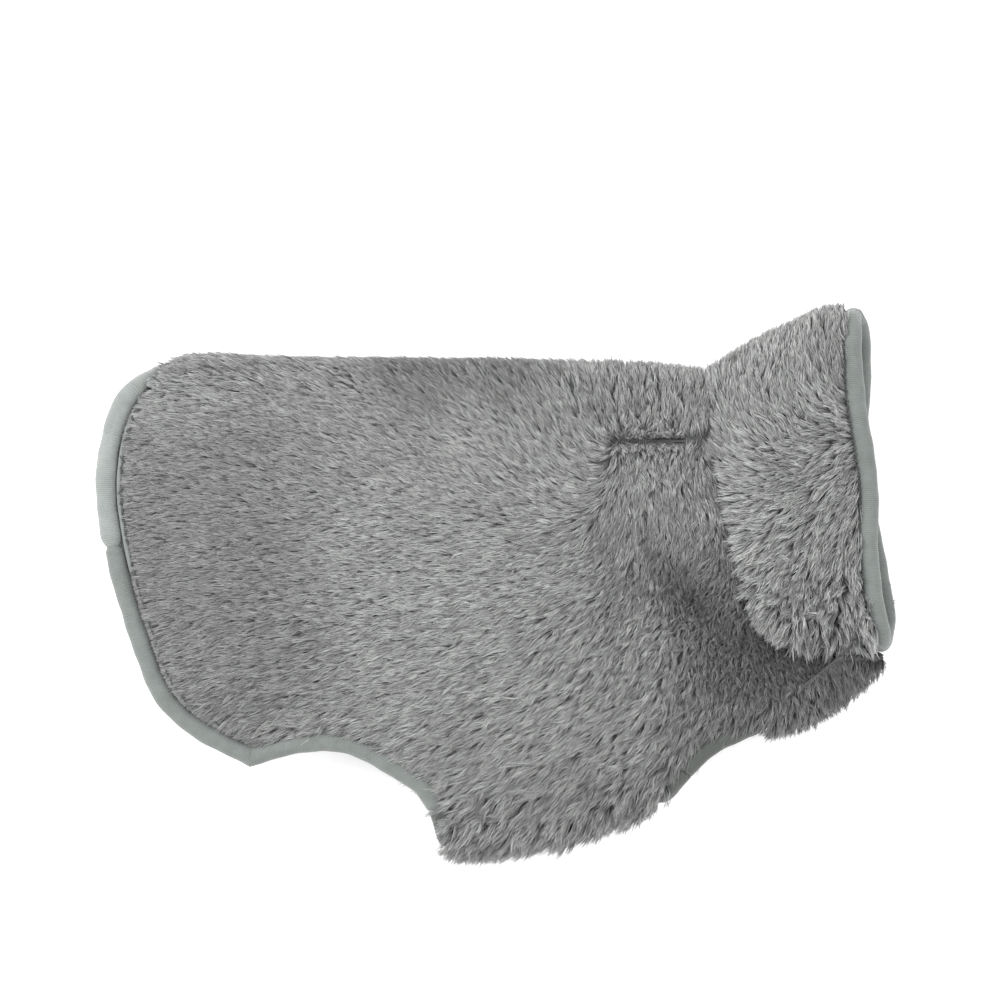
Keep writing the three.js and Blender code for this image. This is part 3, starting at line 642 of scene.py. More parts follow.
def strand_faces(count, shares):
    """Faces of that many strands, each in its own cell of the unfolded pattern."""
    levels = len(shares) - 1
    base = np.arange(count)[:, None] * (SIDES * levels + 1)
    last = SIDES * (levels - 1)
    quads, tris = [], [[0, 2, 1]]
    tri_uv, quad_uv = [[(.05, .02), (.5, .1), (.95, .02)]], []
    foot, height = .12, .86
    for k in range(SIDES):
        n = (k + 1) % SIDES
        u0, u1 = (k + .06) / SIDES, (k + .94) / SIDES
        for j in range(levels - 1):
            low = j * SIDES
            quads.append([low + k, low + n, low + SIDES + n, low + SIDES + k])
            v0, v1 = foot + height * shares[j], foot + height * shares[j + 1]
            quad_uv.append([(u0, v0), (u1, v0), (u1, v1), (u0, v1)])
        tris.append([last + k, last + n, last + SIDES])
        v0 = foot + height * shares[-2]
        tri_uv.append([(u0, v0), (u1, v0), ((u0 + u1) / 2, foot + height)])
    across = 3 * math.ceil(math.sqrt(count / 3))
    size = np.array([1 / across, 1 / math.ceil(count / across)])
    corner = np.stack([np.arange(count) % across, np.arange(count) // across], 1)[:, None, None] * size
    uv = [(corner + np.array(cell)[None] * size).reshape(-1, 2) for cell in (tri_uv, quad_uv)]
    return ((base[:, :, None] + np.array(quads)[None]).reshape(-1, 4),
            (base[:, :, None] + np.array(tris)[None]).reshape(-1, 3), np.vstack(uv))


# ---- Bound edges ----
def edge_route(run, folds, side):
    """Where the binding's middle runs: round each fold that it meets, else flat."""
    dense = spaced(run, 1.0)
    places = inset(dense, EDGE_R)
    depth = np.min([distance_to(fold, places) for fold in folds], axis=0) - EDGE_R
    turned = np.clip(depth / EDGE_TURN, 0, 1)
    height = Z_MID + side * EDGE_TURN * np.sqrt(1 - (1 - turned)**2)
    if side < 0:
        height = height + mound(places)
    good = depth >= 0
    return np.column_stack([places, height])[good], depth[good]


def relaxed(points, passes=6):
    """The line with its corners eased, its ends kept."""
    for _ in range(passes):
        points = points.copy()
        points[1:-1] = .25 * points[:-2] + .5 * points[1:-1] + .25 * points[2:]
    return points


def tube(name, route, radius, material, sides=20, step=.8, closed=False, body="coat",
         swell=0.0, squash=1.0, cap=.45, tuck=0.0, up=(0, 0, 1), replaces=()):
    """A soft tube along a route, with the length of the way so far known at each point.

    cap is how far its ends are rounded, and tuck thins that many millimetres of its far end.
    """
    line = spaced(relaxed(route), step)
    n = len(line)
    if closed:
        line = line[:-1]
        n -= 1
        way = unit(np.roll(line, -1, 0) - np.roll(line, 1, 0))
    else:
        way = unit(np.gradient(line, axis=0))
    side = unit(np.cross(way, np.array(up, float)))
    for _ in range(3):
        side = unit(np.vstack([side[:1], .5 * side[1:-1] + .25 * side[:-2] + .25 * side[2:], side[-1:]]))
    over = unit(np.cross(side, way))
    along = np.arange(n) * step
    turn = math.tau * np.arange(sides) / sides
    soft = 1 + swell * np.sin(along[:, None] * math.tau / 31 + 2 * np.sin(turn)[None]) \
        + swell * .7 * np.sin(along[:, None] * math.tau / 13.7 + 1.3 + turn[None])
    size = radius * soft
    ends = np.ones(n)
    if not closed:
        close_to = np.minimum(np.arange(n), np.arange(n)[::-1]) * step
        ends = np.sqrt(np.clip(1 - (1 - np.clip(close_to / (radius * cap), 0, 1))**2, .02, 1))
    if tuck:
        ends = ends * (1 - .3 * smooth(along, along[-1] - tuck, along[-1] - tuck * .6))
    size = size * ends[:, None]
    points = line[:, None] + (size * np.cos(turn))[..., None] * side[:, None] \
        + (size * squash * np.sin(turn))[..., None] * over[:, None]
    points[..., 2] = np.maximum(points[..., 2], FLOOR_CLEAR)
    quads = quads_of(n + 1 if closed else n, sides, wrap=True) % (n * sides)
    faces = [quads]
    r, c = np.divmod(np.arange(len(quads)), sides)
    rows = max(1, int(round(math.sqrt(n * step / (math.tau * radius)))))
    per = math.ceil((n if closed else n - 1) / rows)
    u0, v0 = (r % per) / per, (r // per) / rows
    uv = np.stack([np.stack([u0, u0, u0 + 1 / per, u0 + 1 / per], 1),
                   np.stack([v0 + c / sides / rows, v0 + (c + 1) / sides / rows,
                             v0 + (c + 1) / sides / rows, v0 + c / sides / rows], 1)], -1)
    uv = uv.reshape(-1, 2)
    if not closed:
        caps = np.vstack([np.arange(sides)[::-1], (n - 1) * sides + np.arange(sides)])
        faces = [quads, caps]
        disc = .004 + .003 * np.stack([np.cos(turn), np.sin(turn)], 1)
        uv = np.vstack([uv, disc[::-1], disc])
    piece = sew(name, points.reshape(-1, 3), faces, uv, {"along_mm": np.repeat(along, sides)})
    piece.data.materials.append(material)
    if body:
        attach(piece, body)
    if replaces:
        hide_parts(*replaces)
    return piece


# ---- Shading ----
def node_group(name, inputs, outputs):
    group = bpy.data.node_groups.new(name, "ShaderNodeTree")
    for label, value in inputs:
        socket = group.interface.new_socket(label, in_out="INPUT", socket_type=(
            "NodeSocketColor" if isinstance(value, tuple) else "NodeSocketFloat"))
        socket.default_value = (*value, 1) if isinstance(value, tuple) else value
    for label, kind in outputs:
        group.interface.new_socket(label, in_out="OUTPUT", socket_type=kind)
    return group, group.nodes.new("NodeGroupInput"), group.nodes.new("NodeGroupOutput")


def add(tree, kind, values=None, **settings):
    node = tree.nodes.new(kind)
    for key, value in settings.items():
        setattr(node, key, value)
    for key, value in (values or {}).items():
        node.inputs[key].default_value = value
    return node


def on_the_coat(tree, kind, values, **settings):
    """A texture over the coat's own coordinates, in features per metre."""
    texture = add(tree, kind, values, **settings)
    tree.links.new(add(tree, "ShaderNodeTexCoord").outputs["Object"], texture.inputs["Vector"])
    return texture.outputs["Fac"]


def noise(tree, scale, detail, rough=.55):
    return on_the_coat(tree, "ShaderNodeTexNoise", {"Scale": scale, "Detail": detail, "Roughness": rough})


def attribute(tree, label):
    return add(tree, "ShaderNodeAttribute", attribute_name=label).outputs["Fac"]


def math_node(tree, operation, a, b=None, clamp=False):
    node = add(tree, "ShaderNodeMath", operation=operation, use_clamp=clamp)
    for socket, value in zip(node.inputs, (a, b)):
        if value is None:
            continue
        if isinstance(value, (int, float)):
            socket.default_value = value
        else:
            tree.links.new(value, socket)
    return node.outputs[0]


def mottle_group():
    """Slow unevenness of a dyed cloth: a factor round 1."""
    group, _, out = node_group("dye_unevenness", [], [("Factor", "NodeSocketFloat")])
    slow = noise(group, 26, 2)
    quick = noise(group, 190, 2)
    both = math_node(group, "ADD", math_node(group, "MULTIPLY", slow, .34),
                     math_node(group, "MULTIPLY", quick, .3))
    group.links.new(math_node(group, "ADD", both, .68), out.inputs["Factor"])
    return group


def knit_group():
    """Fine ribs of a knit along a bound edge: their height and a mask of the grooves, where painted shade
    darkens the knit.
    """
    group, given, out = node_group("knit_ribs", [("Ribs per mm", .8), ("Fuzz", .5)],
                                   [("Height", "NodeSocketFloat"), ("Groove", "NodeSocketFloat")])
    along = attribute(group, "along_mm")
    wobble = math_node(group, "MULTIPLY", noise(group, 420, 2), 4.5)
    phase = math_node(group, "MULTIPLY", along, given.outputs["Ribs per mm"])
    angle = math_node(group, "MULTIPLY", phase, math.tau)
    wave = math_node(group, "SINE", math_node(group, "ADD", angle, wobble))
    worn = noise(group, 140, 2, .6)
    ribs = math_node(group, "MULTIPLY", wave, worn)
    fine = noise(group, 2600, 2, .7)
    fuzz = math_node(group, "MULTIPLY", fine, given.outputs["Fuzz"])
    group.links.new(math_node(group, "ADD", ribs, fuzz), out.inputs["Height"])
    groove = math_node(group, "MULTIPLY", math_node(group, "SUBTRACT", .5, ribs), fine, clamp=True)
    group.links.new(groove, out.inputs["Groove"])
    return group


def placed(tree, group, values=None):
    return add(tree, "ShaderNodeGroup", values, node_tree=group)


def cloth_shader(name, roughness, sheen=0.0, specular=.3):
    material = bpy.data.materials.new(name)
    material.use_nodes = True
    shader = material.node_tree.nodes["Principled BSDF"]
    shader.inputs["Roughness"].default_value = roughness
    shader.inputs["Specular IOR Level"].default_value = specular
    shader.inputs["Sheen Weight"].default_value = sheen
    shader.inputs["Sheen Roughness"].default_value = .45
    return material, material.node_tree, shader


def bump(tree, shader, height, distance):
    node = add(tree, "ShaderNodeBump", {"Strength": 1.0, "Distance": distance})
    tree.links.new(height, node.inputs["Height"])
    tree.links.new(node.outputs["Normal"], shader.inputs["Normal"])


def paint(tree, shader, colour, factor):
    """The shader takes the colour, made lighter or darker by a factor."""
    node = add(tree, "ShaderNodeVectorMath", operation="SCALE")
    if isinstance(colour, tuple):
        node.inputs[0].default_value = colour
    else:
        tree.links.new(colour, node.inputs[0])
    tree.links.new(factor, node.inputs["Scale"])
    tree.links.new(node.outputs[0], shader.inputs["Base Color"])


def eased(tree, value, gain, base):
    """The value times a gain, over a base."""
    return math_node(tree, "ADD", math_node(tree, "MULTIPLY", value, gain), base)


MOTTLE = mottle_group()
KNIT = knit_group()


def mottled(tree, factor):
    """The factor with the dye's unevenness in it."""
    return math_node(tree, "MULTIPLY", factor, placed(tree, MOTTLE).outputs["Factor"])


def pile_material():
    material, tree, shader = cloth_shader("brushed_pile", .72, sheen=.3, specular=.3)
    height, tone, shade = (attribute(tree, label) for label in ("root_to_tip", "strand_tone", "painted_light_and_shade"))
    # Darker at the root and lighter at the tip: painted shade deep in the pile.
    ramp = add(tree, "ShaderNodeValToRGB")
    stops = ramp.color_ramp.elements
    stops[0].position, stops[0].color = 0.0, (.06, .061, .06, 1)
    stops[1].position, stops[1].color = 1.0, (.345, .351, .345, 1)
    middle = stops.new(.45)
    middle.color = (.225, .229, .225, 1)
    tree.links.new(height, ramp.inputs["Fac"])
    # The tone from place to place is painted light and shade; the strand's own tone differs at random.
    factor = math_node(tree, "MULTIPLY", eased(tree, tone, 1.15, .42), shade)
    paint(tree, shader, ramp.outputs["Color"], mottled(tree, factor))
    return material


def backing_material():
    material, tree, shader = cloth_shader("knitted_backing", .9, specular=.15)
    stitches = noise(tree, 900, 2, .6)
    paint(tree, shader, (.085, .088, .086), mottled(tree, eased(tree, stitches, .6, .7)))
    bump(tree, shader, stitches, .0006)
    return material


def binding_material(name, colour):
    material, tree, shader = cloth_shader(name, .85, sheen=.35, specular=.15)
    knit = placed(tree, KNIT, {"Ribs per mm": 1.0, "Fuzz": 1.2})
    # The grooves between the ribs get painted shade.
    factor = math_node(tree, "SUBTRACT", placed(tree, MOTTLE).outputs["Factor"],
                       math_node(tree, "MULTIPLY", knit.outputs["Groove"], .32))
    paint(tree, shader, colour, factor)
    bump(tree, shader, knit.outputs["Height"], .00016)
    return material


def lining_material():
    material, tree, shader = cloth_shader("jersey_lining", .9, sheen=.2, specular=.15)
    uneven = {"Distortion": 1.5, "Detail": 1, "Detail Scale": 3}
    courses = on_the_coat(tree, "ShaderNodeTexWave", {"Scale": 260, **uneven}, bands_direction="X")
    wales = on_the_coat(tree, "ShaderNodeTexWave", {"Scale": 190, **uneven}, bands_direction="Y")
    weave = math_node(tree, "MULTIPLY", courses, wales)
    paint(tree, shader, (.14, .152, .147), mottled(tree, eased(tree, weave, .4, .75)))
    bump(tree, shader, weave, .0003)
    return material


def thread_material():
    material, tree, shader = cloth_shader("seam_thread", .6, specular=.35)
    ply = on_the_coat(tree, "ShaderNodeTexWave", {"Scale": 700, "Distortion": 1, "Detail": 1},
                      bands_direction="DIAGONAL")
    paint(tree, shader, (.075, .08, .078), eased(tree, ply, .5, .75))
    bump(tree, shader, ply, .0002)
    return material


def tape_material(name, scale, colour):
    material, tree, shader = cloth_shader(name, .6, specular=.35)
    bristle = noise(tree, scale, 2, .7)
    paint(tree, shader, colour, eased(tree, bristle, 1.2, .4))
    bump(tree, shader, bristle, .001)
    return material


PILE = pile_material()
BACKING = backing_material()
BOUND = binding_material("ribbed_binding", (.172, .188, .179))
# A lighter copy of the binding for the hem at the tail: painted light where the window on the left falls.
BOUND_LIT = binding_material("ribbed_binding_painted_light", (.245, .263, .254))
# A darker copy of the binding for the strips that turn under at the leg and the belly: painted shade.
BOUND_SHADED = binding_material("ribbed_binding_painted_shade", (.085, .092, .086))
BOUND_INNER = binding_material("binding_seam_allowance", (.21, .228, .219))
JERSEY = lining_material()
THREAD = thread_material()
HOOKS = tape_material("hook_tape_bristle", 1500, (.035, .038, .038))
LOOPS = tape_material("loop_tape_nap", 900, (.065, .07, .068))
WELT = tape_material("slot_welt_cloth", 1200, (.02, .021, .021))


# ---- Plush: backings, folds and their tufts ----
def backing(name, skin, body="coat", replaces=(), finish=None, thick=SKIN_THICK):
    """One layer of cloth: a skin with a thickness."""
    verts, tris = skin
    piece = sew(name, verts, [tris])
    layer = piece.modifiers.new("cloth", "SOLIDIFY")
    layer.thickness, layer.offset = thick * MM, -1
    piece.data.materials.append(finish or BACKING)
    if body:
        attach(piece, body)
    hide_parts(*replaces)
    return piece


def lining(name, skin, body="coat", replaces=()):
    """The jersey behind a backing, its right side towards the inside of the coat."""
    verts, tris = skin
    inner = verts - LINING_GAP * vertex_normals(verts, tris)
    return backing(name, (inner, tris[:, ::-1]), body, replaces, JERSEY, LINING_THICK)


def flat_cut(skin):
    """Width, length and area of a panel as it was cut, with how it is held."""
    verts, tris = skin
    width, length = np.ptp(verts[:, 0]), np.ptp(verts[:, 1])
    a, b, c = (verts[tris[:, k], :2] for k in range(3))
    area = np.abs(np.cross(b - a, c - a)).sum() / 2
    return width, length, area, "laid"


def fold_cut(line, bound_ends):
    """The same for the strip that goes round a fold."""
    length = np.linalg.norm(np.diff(inset(line, FOLD_R / 2), axis=0), axis=1).sum() - bound_ends * EDGE_IN
    width = math.pi * SKIN_R
    return width, length, width * length, "folded"


def bare_lines(places):
    """Where no tuft stands: in the line of the leash slot, in the neck seam and on the hem's seam."""
    away = places[:, :2] - SHIFT - SLOT
    half_width = .2 + .7 * smooth(away[:, 0], 0, 12)
    in_slot = (np.abs(away[:, 1]) < half_width) & (away[:, 0] > BARE_REAR) & (away[:, 0] < BARE_FRONT)
    in_seam = (np.abs(neck_side(places[:, :2])) < BARE_SEAM) & (places[:, 1] < 92)
    on_strip = distance_to(hem, places[:, :2]) < BINDING + 3.2 * seam_strip(places)
    return in_slot | in_seam | on_strip


EDGE_IN = BINDING - 1.2          # a panel ends this far inside the binding's outer edge
FOLD_EDGE_IN = 6.4               # a fold reaches further into the binding, which cuts its corner
TAIL_IN, TAIL_IN_BELOW = 1.0, 4.5  # the same at the tail, on the upper side and below
SEAM_IN = .6
RUN_ON = np.array([[9.0], [6.0], [3.0]])  # the belly's line runs on by these past its front end
seam_cut = int(round(len(neck) * THROAT_SEAM)) + 1
neck_up = neck[:seam_cut][::-1]


def ring_keep(near_lines, far_lines, seam_sign=0):
    """What of a fold's backing is left where bound edges and the neck seam trim it."""
    def keep(verts):
        upper = verts[:, 2] > Z_MID
        good = np.ones(len(verts), bool)
        for lines, half in ((near_lines, upper), (far_lines, ~upper)):
            for line in lines:
                tail_in = np.where(upper, TAIL_IN, TAIL_IN_BELOW)
                clear = np.where(at_tail(verts[:, :2]), tail_in, FOLD_EDGE_IN)
                good &= ~half | (distance_to(line, verts[:, :2]) > clear)
        if seam_sign:
            good &= neck_side(verts[:, :2]) * seam_sign > -1.0
        return good
    return keep


def level(height):
    """A layer that lies flat at that height."""
    return lambda places: np.full(len(places), height)


belly_on = np.vstack([belly[0] + unit(belly[:1] - belly[1:2]) * RUN_ON, belly])
skins = {
    "body": panel([(spine, FOLD_R), (neck, SEAM_IN), (chest, FOLD_R), (leg, EDGE_IN), (belly, FOLD_R),
                   (flank, EDGE_IN), (hem, EDGE_IN)], near_height, 2.4),
    "collar": panel([(collar_top, FOLD_R), (mouth_lie, EDGE_IN), (throat_fold, FOLD_R),
                     (neck_up, SEAM_IN)], near_height, 2.4),
    "far_body": panel([(spine, FOLD_R), (neck, SEAM_IN), (chest, FOLD_R), (far_leg, EDGE_IN),
                       (far_edge, EDGE_IN), (far_flank, EDGE_IN), (hem, EDGE_IN)],
                      far_height, 6.0, upside_down=True),
    "far_collar": panel([(collar_top, FOLD_R), (mouth_far, EDGE_IN), (throat_fold, FOLD_R),
                         (neck_up, SEAM_IN)], far_height, 5.0, upside_down=True),
    "flap": panel([(belly, FOLD_R), (flap_sides, EDGE_IN)], level(Z_MID - SKIN_R), 4.0,
                  upside_down=True),
    "spine_fold": fold_skin(np.vstack([spine, collar_top[1:5]]), ring_keep([hem], [hem], -1)),
    "chest_fold": fold_skin(chest, ring_keep([leg], [far_leg], -1)),
    "belly_fold": fold_skin(belly_on, ring_keep([leg, flank], [flap_sides])),
    "collar_top_fold": fold_skin(np.vstack([spine[-5:-1], collar_top]),
                                 ring_keep([mouth_lie], [mouth_far], 1)),
    "throat_fold": fold_skin(throat_fold, ring_keep([mouth_lie], [mouth_far], 1)),
}
cuts = {name: flat_cut(skins[name]) for name in ("body", "collar", "far_body", "far_collar", "flap")}
cuts.update({"spine_fold": fold_cut(spine, 1), "chest_fold": fold_cut(chest, 1),
             "belly_fold": fold_cut(belly, 2), "collar_top_fold": fold_cut(collar_top, 1),
             "throat_fold": fold_cut(throat_fold, 1)})


def bend_with_flap(piece):
    """Bakes the piece's place into its mesh."""
    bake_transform(piece)


def grow_folds():
    """Tufts round each fold: lying flat along the back and the collar, hanging at the belly."""
    for name, strokes, rise, longer in (
            ("spine_fold", BODY_BRUSH, (5, 16), .95), ("chest_fold", BODY_BRUSH, (12, 28), 1.0),
            ("belly_fold", BODY_BRUSH, (12, 28), 1.0), ("collar_top_fold", COLLAR_BRUSH, (8, 20), .95),
            ("throat_fold", COLLAR_BRUSH, (14, 32), 1.1)):
        body = None if name == "belly_fold" else "coat"
        for piece in grow(f"{name}_tufts", skins[name], 1.7, strokes, rng, tuft=.2, stout=.27, body=body,
                          length=longer, strand=LONG, rise=rise, bare=bare_lines):
            if body is None:
                bend_with_flap(piece)


STRIP_ROWS = 5


def strip_skin(outer, inner, height):
    """A narrow skin between two lines in plan, for the pile at an edge."""
    shares = np.linspace(0, 1, STRIP_ROWS)[:, None, None]
    rows = (outer * (1 - shares) + inner * shares).transpose(1, 0, 2).reshape(-1, 2) + SHIFT
    tris = halved(quads_of(len(outer), STRIP_ROWS))
    verts = np.column_stack([rows, height(rows)])
    if face_cross(verts, tris[:1])[0, 2] < 0:
        tris = tris[:, ::-1]
    return verts, tris


def spine_height(places):
    """Height of the backing over the spine's fold."""
    out = np.clip(places[:, 1] - SHIFT[1] - (SPINE_Y - FOLD_R), 0, SKIN_R - 1)
    return Z_MID + np.sqrt(SKIN_R**2 - out**2)


FRINGE_Z = 7.0                   # height of the far collar's edge


def grow_edges():
    """Short pile over the tail's corner, and the far collar's fringe past its binding."""
    outer = catmull([(-174, 92), (-172, 97), (-169, 103), (-165, 108)])
    inner = catmull([(-166, 92), (-164, 97), (-161, 102), (-157, 107)])
    grow("tail_corner_tufts", strip_skin(outer, inner, spine_height), 4.2, TAIL_BRUSH, rng,
         tuft=.3, stout=.26, strand=LONG, rise=(14, 30))
    outer = catmull([(195.5, -2), (197, -14), (196, -26), (192, -36)])
    grow("far_collar_fringe", strip_skin(outer, outer - (4, 0), level(FRINGE_Z)), 2.4, FRINGE_BRUSH, rng,
         tuft=.3, stout=.3, strand=LONG, rise=(0, 8))


# Each skin, its CAD nodes' name, what it lies on and the body that it goes with.
LAYERS = (("body", "near_side", "far_side", "coat"), ("collar", "near_collar", "far_collar", "coat"),
          ("far_body", "far_side", "", "coat"), ("far_collar", "far_collar", "", "coat"),
          ("spine_fold", "spine_fold", "", "coat"), ("chest_fold", "chest_fold", "", "coat"),
          ("collar_top_fold", "collar_top_fold", "", "coat"),
          ("throat_fold", "collar_throat_fold", "", "coat"), ("flap", "flap", "", "belly_flap"),
          ("belly_fold", "belly_fold", "", None))


def lay_cloth():
    for skin, node, below, body in LAYERS:
        plush = backing(f"{skin}_backing", skins[skin], body, [f"{node}_plush"])
        inner = lining(f"{skin}_jersey", skins[skin], body, [f"{node}_lining"])
        if body is None:
            bend_with_flap(plush)
            bend_with_flap(inner)


lay_cloth()
grow("body_tufts", skins["body"], 2.7, BODY_BRUSH, rng, bare=bare_lines)
grow("collar_tufts", skins["collar"], 2.2, COLLAR_BRUSH, rng, tuft=.2, stout=.27, strand=LONG, rise=(6, 18),
     lively=.85, bare=bare_lines)
grow_folds()
grow_edges()
grow("far_side_tufts", skins["far_body"], .12, BODY_BRUSH, rng, tuft=.6, stout=.8, length=.8)
grow("far_collar_tufts", skins["far_collar"], .3, COLLAR_BRUSH, rng, tuft=.5, stout=.6, length=.9)
grow("flap_tufts", skins["flap"], 1.3, BODY_BRUSH, rng, tuft=.25, stout=.33, body="belly_flap", length=.9,
     lively=.8)


# ---- Bound edges ----
REAR_R, TAIL_R, LEG_R = 4.7, 5.3, 4.4
MOUTH_R, FLAP_R, TURN_REAR_R, TURN_FRONT_R = 4.8, 4.8, 4.4, 4.3


def flat_part(route, depth):
    return route[depth >= EDGE_TURN + .3]


def turn_part(route, depth):
    return route[depth < EDGE_TURN]


join_at = int(round(len(hem) * HEM_JOIN))
TUCK = 4                         # how many points of the hem the lower binding runs on under the upper
TAIL_SINK = 6.5                  # how far the upper one dips under the pile of the tail's corner
flank_route, flank_depth = edge_route(flank, [belly], 1)
leg_route = edge_route(leg, [chest, belly], 1)[0]
leg_belly_route, leg_belly_depth = edge_route(leg, [belly], 1)
flap_route, flap_route_depth = edge_route(flap_sides, [belly], -1)
flap_route[:, 2] -= mound(flap_route[:, :2])
half_flap = len(flap_route) // 2
lower_route = np.vstack([flat_part(flank_route, flank_depth),
                         edge_route(hem[:join_at + TUCK], [spine], 1)[0]])
upper_route = np.vstack([edge_route(hem[join_at:], [spine], 1)[0], edge_route(hem, [spine], -1)[0][::-1],
                         edge_route(far_flank, [chest], -1)[0][::-1][1:]])
sunk = smooth(upper_route[:, 1] - SHIFT[1], SPINE_Y - 17, SPINE_Y - 8) * (upper_route[:, 2] > Z_MID)
upper_route[:, 2] -= TAIL_SINK * sunk
near_leg = leg_route[distance_to(belly, leg_route[:, :2]) - EDGE_R >= EDGE_TURN - 1.5]
leg_line = np.vstack([edge_route(far_edge, [chest], -1)[0][3:-6][::-1],
                      edge_route(far_leg, [chest], -1)[0][::-1][1:], near_leg])
tube("hem_binding_rear", lower_route, REAR_R, BOUND, swell=.035, squash=.92, tuck=7.0,
     replaces=["hem_binding_lower"])
tube("hem_binding_tail", upper_route, TAIL_R, BOUND_LIT, swell=.035, squash=.92, cap=1.5,
     replaces=["hem_binding_upper"])
tube("leg_binding_rib", leg_line, LEG_R, BOUND_SHADED, swell=.03, cap=.15, replaces=["leg_binding"])
mouth_ends = [collar_top, throat_fold]
far_mouth_route = edge_route(mouth_far, mouth_ends, -1)[0]
near_mouth_route = edge_route(mouth_lie, mouth_ends, 1)[0]
tube("collar_binding_rib", np.vstack([far_mouth_route, near_mouth_route[::-1], far_mouth_route[:1]]),
     MOUTH_R, BOUND, swell=.03, squash=.95, closed=True, replaces=["collar_binding"])
tube("flap_binding_rib", flat_part(flap_route, flap_route_depth), FLAP_R, BOUND, body="belly_flap",
     swell=.02, replaces=["flap_binding"])
rear_turn = np.vstack([turn_part(flank_route, flank_depth)[::-1],
                       turn_part(flap_route[:half_flap], flap_route_depth[:half_flap])])
front_turn = np.vstack([turn_part(leg_belly_route, leg_belly_depth),
                        turn_part(flap_route[half_flap:], flap_route_depth[half_flap:])[::-1]])
for where, route, radius in (("rear", rear_turn, TURN_REAR_R), ("front", front_turn, TURN_FRONT_R)):
    bend_with_flap(tube(f"belly_turn_binding_{where}", route, radius, BOUND_SHADED, body=None, swell=.02,
                        cap=.15, up=(.2, 1, 0), replaces=[f"belly_fold_binding_{where}"]))


# ---- Seams ----
STITCH_RINGS = 6                 # sections along one stitch


def stitches(name, line, pitch, length, radius, replaces=(), slot="thread", sides=6, sway=0.0, skip=0.0):
    """A row of sewn stitches along a line in space: each dips at both of its ends."""
    marks = spaced(line, pitch)
    way = unit(np.gradient(marks, axis=0))
    verts, faces = [], []
    for i in range(len(marks) - 1):
        if rng.uniform() < skip:
            continue
        side = np.array([-way[i][1], way[i][0], 0])
        lean = rng.normal(0, sway)
        shares = np.linspace(-.5, .5, STITCH_RINGS)
        base = len(verts) * sides
        for share in shares:
            centre = marks[i] + way[i] * share * length + side * lean * share
            centre = centre + np.array([0, 0, radius * (1.2 - 7 * share**2)])
            thin = radius * math.sqrt(max(.15, 1 - (2 * share)**4))
            around = math.tau * np.arange(sides) / sides
            verts.append(centre + thin * (np.cos(around)[:, None] * side
                                          + np.sin(around)[:, None] * np.array([0, 0, 1.0])))
        faces.append(base + quads_of(len(shares), sides, wrap=True))
    all_verts = np.vstack(verts)
    first = np.arange(len(faces))[:, None] * STITCH_RINGS * sides
    caps = np.vstack([first + np.arange(sides)[::-1], first + (STITCH_RINGS - 1) * sides + np.arange(sides)])
    piece = sew(name, all_verts, [np.vstack(faces), caps])
    piece.data.materials.append(THREAD)
    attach(piece, "coat")
    if replaces:
        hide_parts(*replaces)


def on_skin(line, rise):
    return np.column_stack([line, near_height(line) + rise])


def share_of(line, start, end):
    return line[int(len(line) * start):int(len(line) * end)]


stitches("neck_seam_stitches", on_skin(share_of(neck, .13, .7), .4), 3.4, 3.1, .4,
         replaces=["neck_seam_thread"])
tube("hem_seam_allowance", on_skin(share_of(inset(hem, BINDING + 1.5), .5, .84), 1.6), 1.1, BOUND_INNER,
     sides=10, squash=.7, swell=.06)
stitches("hem_seam_stitches", on_skin(share_of(inset(hem, BINDING + 2.5), .06, .92), 2.8), 5.2, 3.6, .5,
         replaces=["hem_topstitch"], sway=1.8, skip=.18)
stitches("mouth_seam_stitches", on_skin(share_of(inset(mouth_lie, BINDING - .1), .1, .9), 2.4), 3.4, 2.8,
         .32, sway=.9, skip=.1)


def lips():
    """The slot's two rolled welts and the bar tack across each of its ends."""
    centre = SLOT + SHIFT
    for label, side in (("upper", 1), ("lower", -1)):
        xs = np.linspace(-SLOT_HALF, SLOT_HALF, 40)
        line = np.column_stack([centre[0] + xs, np.full(40, centre[1] + side * 1.0) + .25 * np.sin(xs / 5)])
        tube(f"slot_lip_{label}", on_skin(line, -.35), .5, WELT, sides=10,
             replaces=[f"slot_welt_{label}"])
    for label, side in (("front", 1), ("rear", -1)):
        x = centre[0] + side * (SLOT_HALF - 1)
        line = np.column_stack([np.linspace(x - 1.4, x + 1.4, 5), np.full(5, centre[1])])
        tops = np.column_stack([line, near_height(line) - .1])
        rows = [np.column_stack([np.full(9, p[0]), np.linspace(p[1] - 2.4, p[1] + 2.4, 9), np.full(9, p[2])])
                for p in tops]
        for k, row in enumerate(rows):
            tube(f"slot_bar_{label}_{k + 1}", row, .32, THREAD, sides=8,
                 replaces=[f"slot_tack_{label}"] if k == 0 else ())


lips()

# ---- Carried-over tapes ----
for node, finish in (("hook_tape", HOOKS), ("loop_tape", LOOPS)):
    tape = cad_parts[node]
    tape.data.materials.clear()
    tape.data.materials.append(finish)


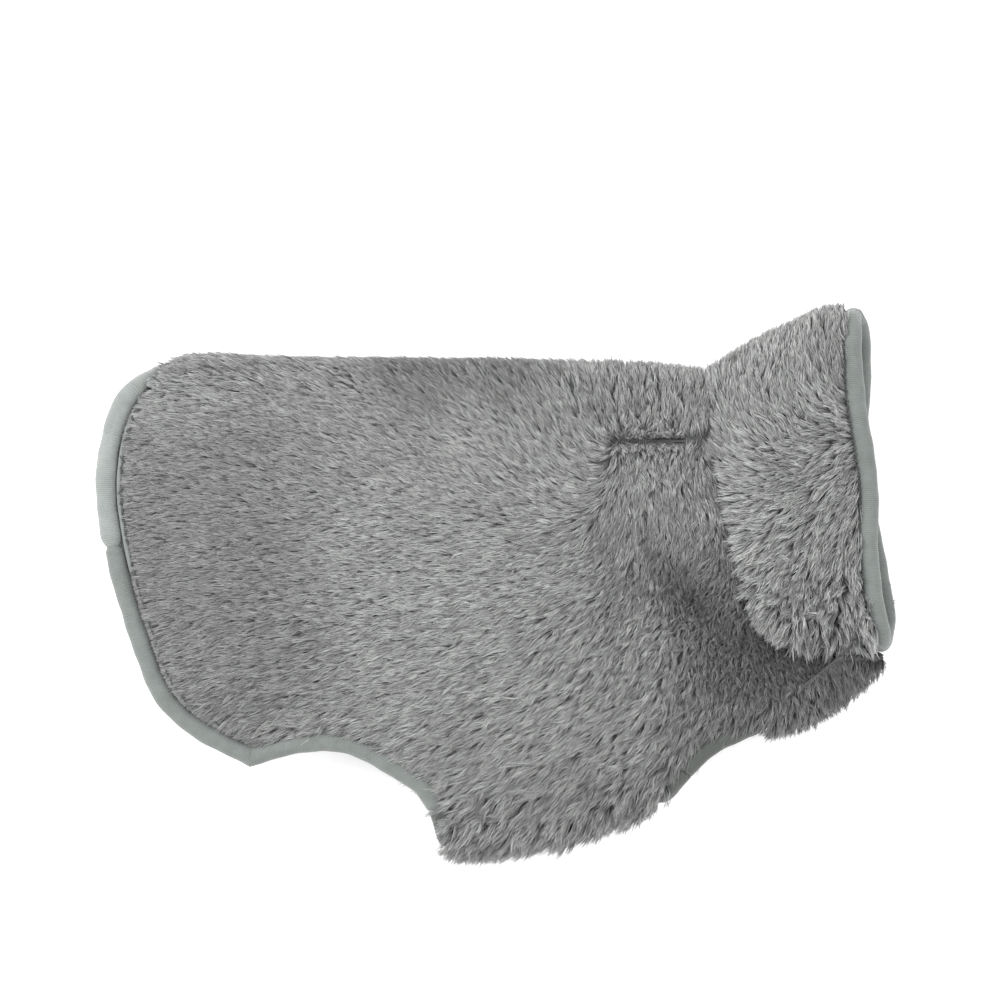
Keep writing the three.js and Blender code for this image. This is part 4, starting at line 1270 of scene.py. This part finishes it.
# ---- Floor, light and camera ----
FLOOR_HALF, FLOOR_Z = 3000, -.2
FLOOR_GLOW = .22                 # the ground's own glow, so that it stays white
ROOM_LIGHT = 1.35
VIEW_MIDDLE = (1.0, 40.5)
LENS, LENS_HEIGHT = 180.0, 2.53  # millimetres, and metres over the ground


def pale_floor():
    corners = [(FLOOR_HALF * x, FLOOR_HALF * y, FLOOR_Z) for x, y in ((-1, -1), (1, -1), (1, 1), (-1, 1))]
    floor = sew("pale_floor", np.array(corners, float), [np.array([[0, 1, 2, 3]])])
    material, tree, shader = cloth_shader("pale_floor_paper", .9, specular=.1)
    grain = noise(tree, 60, 3)
    paint(tree, shader, (.96, .96, .96), eased(tree, grain, .02, .97))
    shader.inputs["Emission Color"].default_value = (1, 1, 1, 1)
    shader.inputs["Emission Strength"].default_value = FLOOR_GLOW
    floor.data.materials.append(material)


def lamp(name, place, size, power):
    """A square lamp that points at the middle of the coat."""
    light = bpy.data.lights.new(name, "AREA")
    light.shape, light.size, light.energy = "SQUARE", size, power
    holder = place_in_scene(name, light)
    holder.location = place
    way = -np.array(place, float)
    flat = math.hypot(way[0], way[1])
    holder.rotation_euler = (math.atan2(flat, -way[2]), 0, math.atan2(way[1], way[0]) - math.pi / 2)


def studio():
    world = bpy.data.worlds.new("soft_room")
    bpy.context.scene.world = world
    world.use_nodes = True
    world.node_tree.nodes["Background"].inputs["Color"].default_value = (1, 1, 1, 1)
    world.node_tree.nodes["Background"].inputs["Strength"].default_value = ROOM_LIGHT
    lamp("window_left", (-1.1, .7, 1.2), 1.0, 27)
    lamp("bounce_right", (1.2, -.6, 1.3), 1.6, 6)
    bpy.context.scene.view_settings.view_transform = "Standard"


def camera():
    """Straight down over the coat, which lies a little below the middle of the view."""
    lens = bpy.data.cameras.new("overhead")
    lens.sensor_width, lens.lens = 36.0, LENS
    holder = place_in_scene("overhead", lens)
    view_middle = (np.array(VIEW_MIDDLE) + SHIFT) * MM
    holder.location = (view_middle[0], view_middle[1], LENS_HEIGHT)
    bpy.context.scene.camera = holder


pale_floor()
studio()
camera()
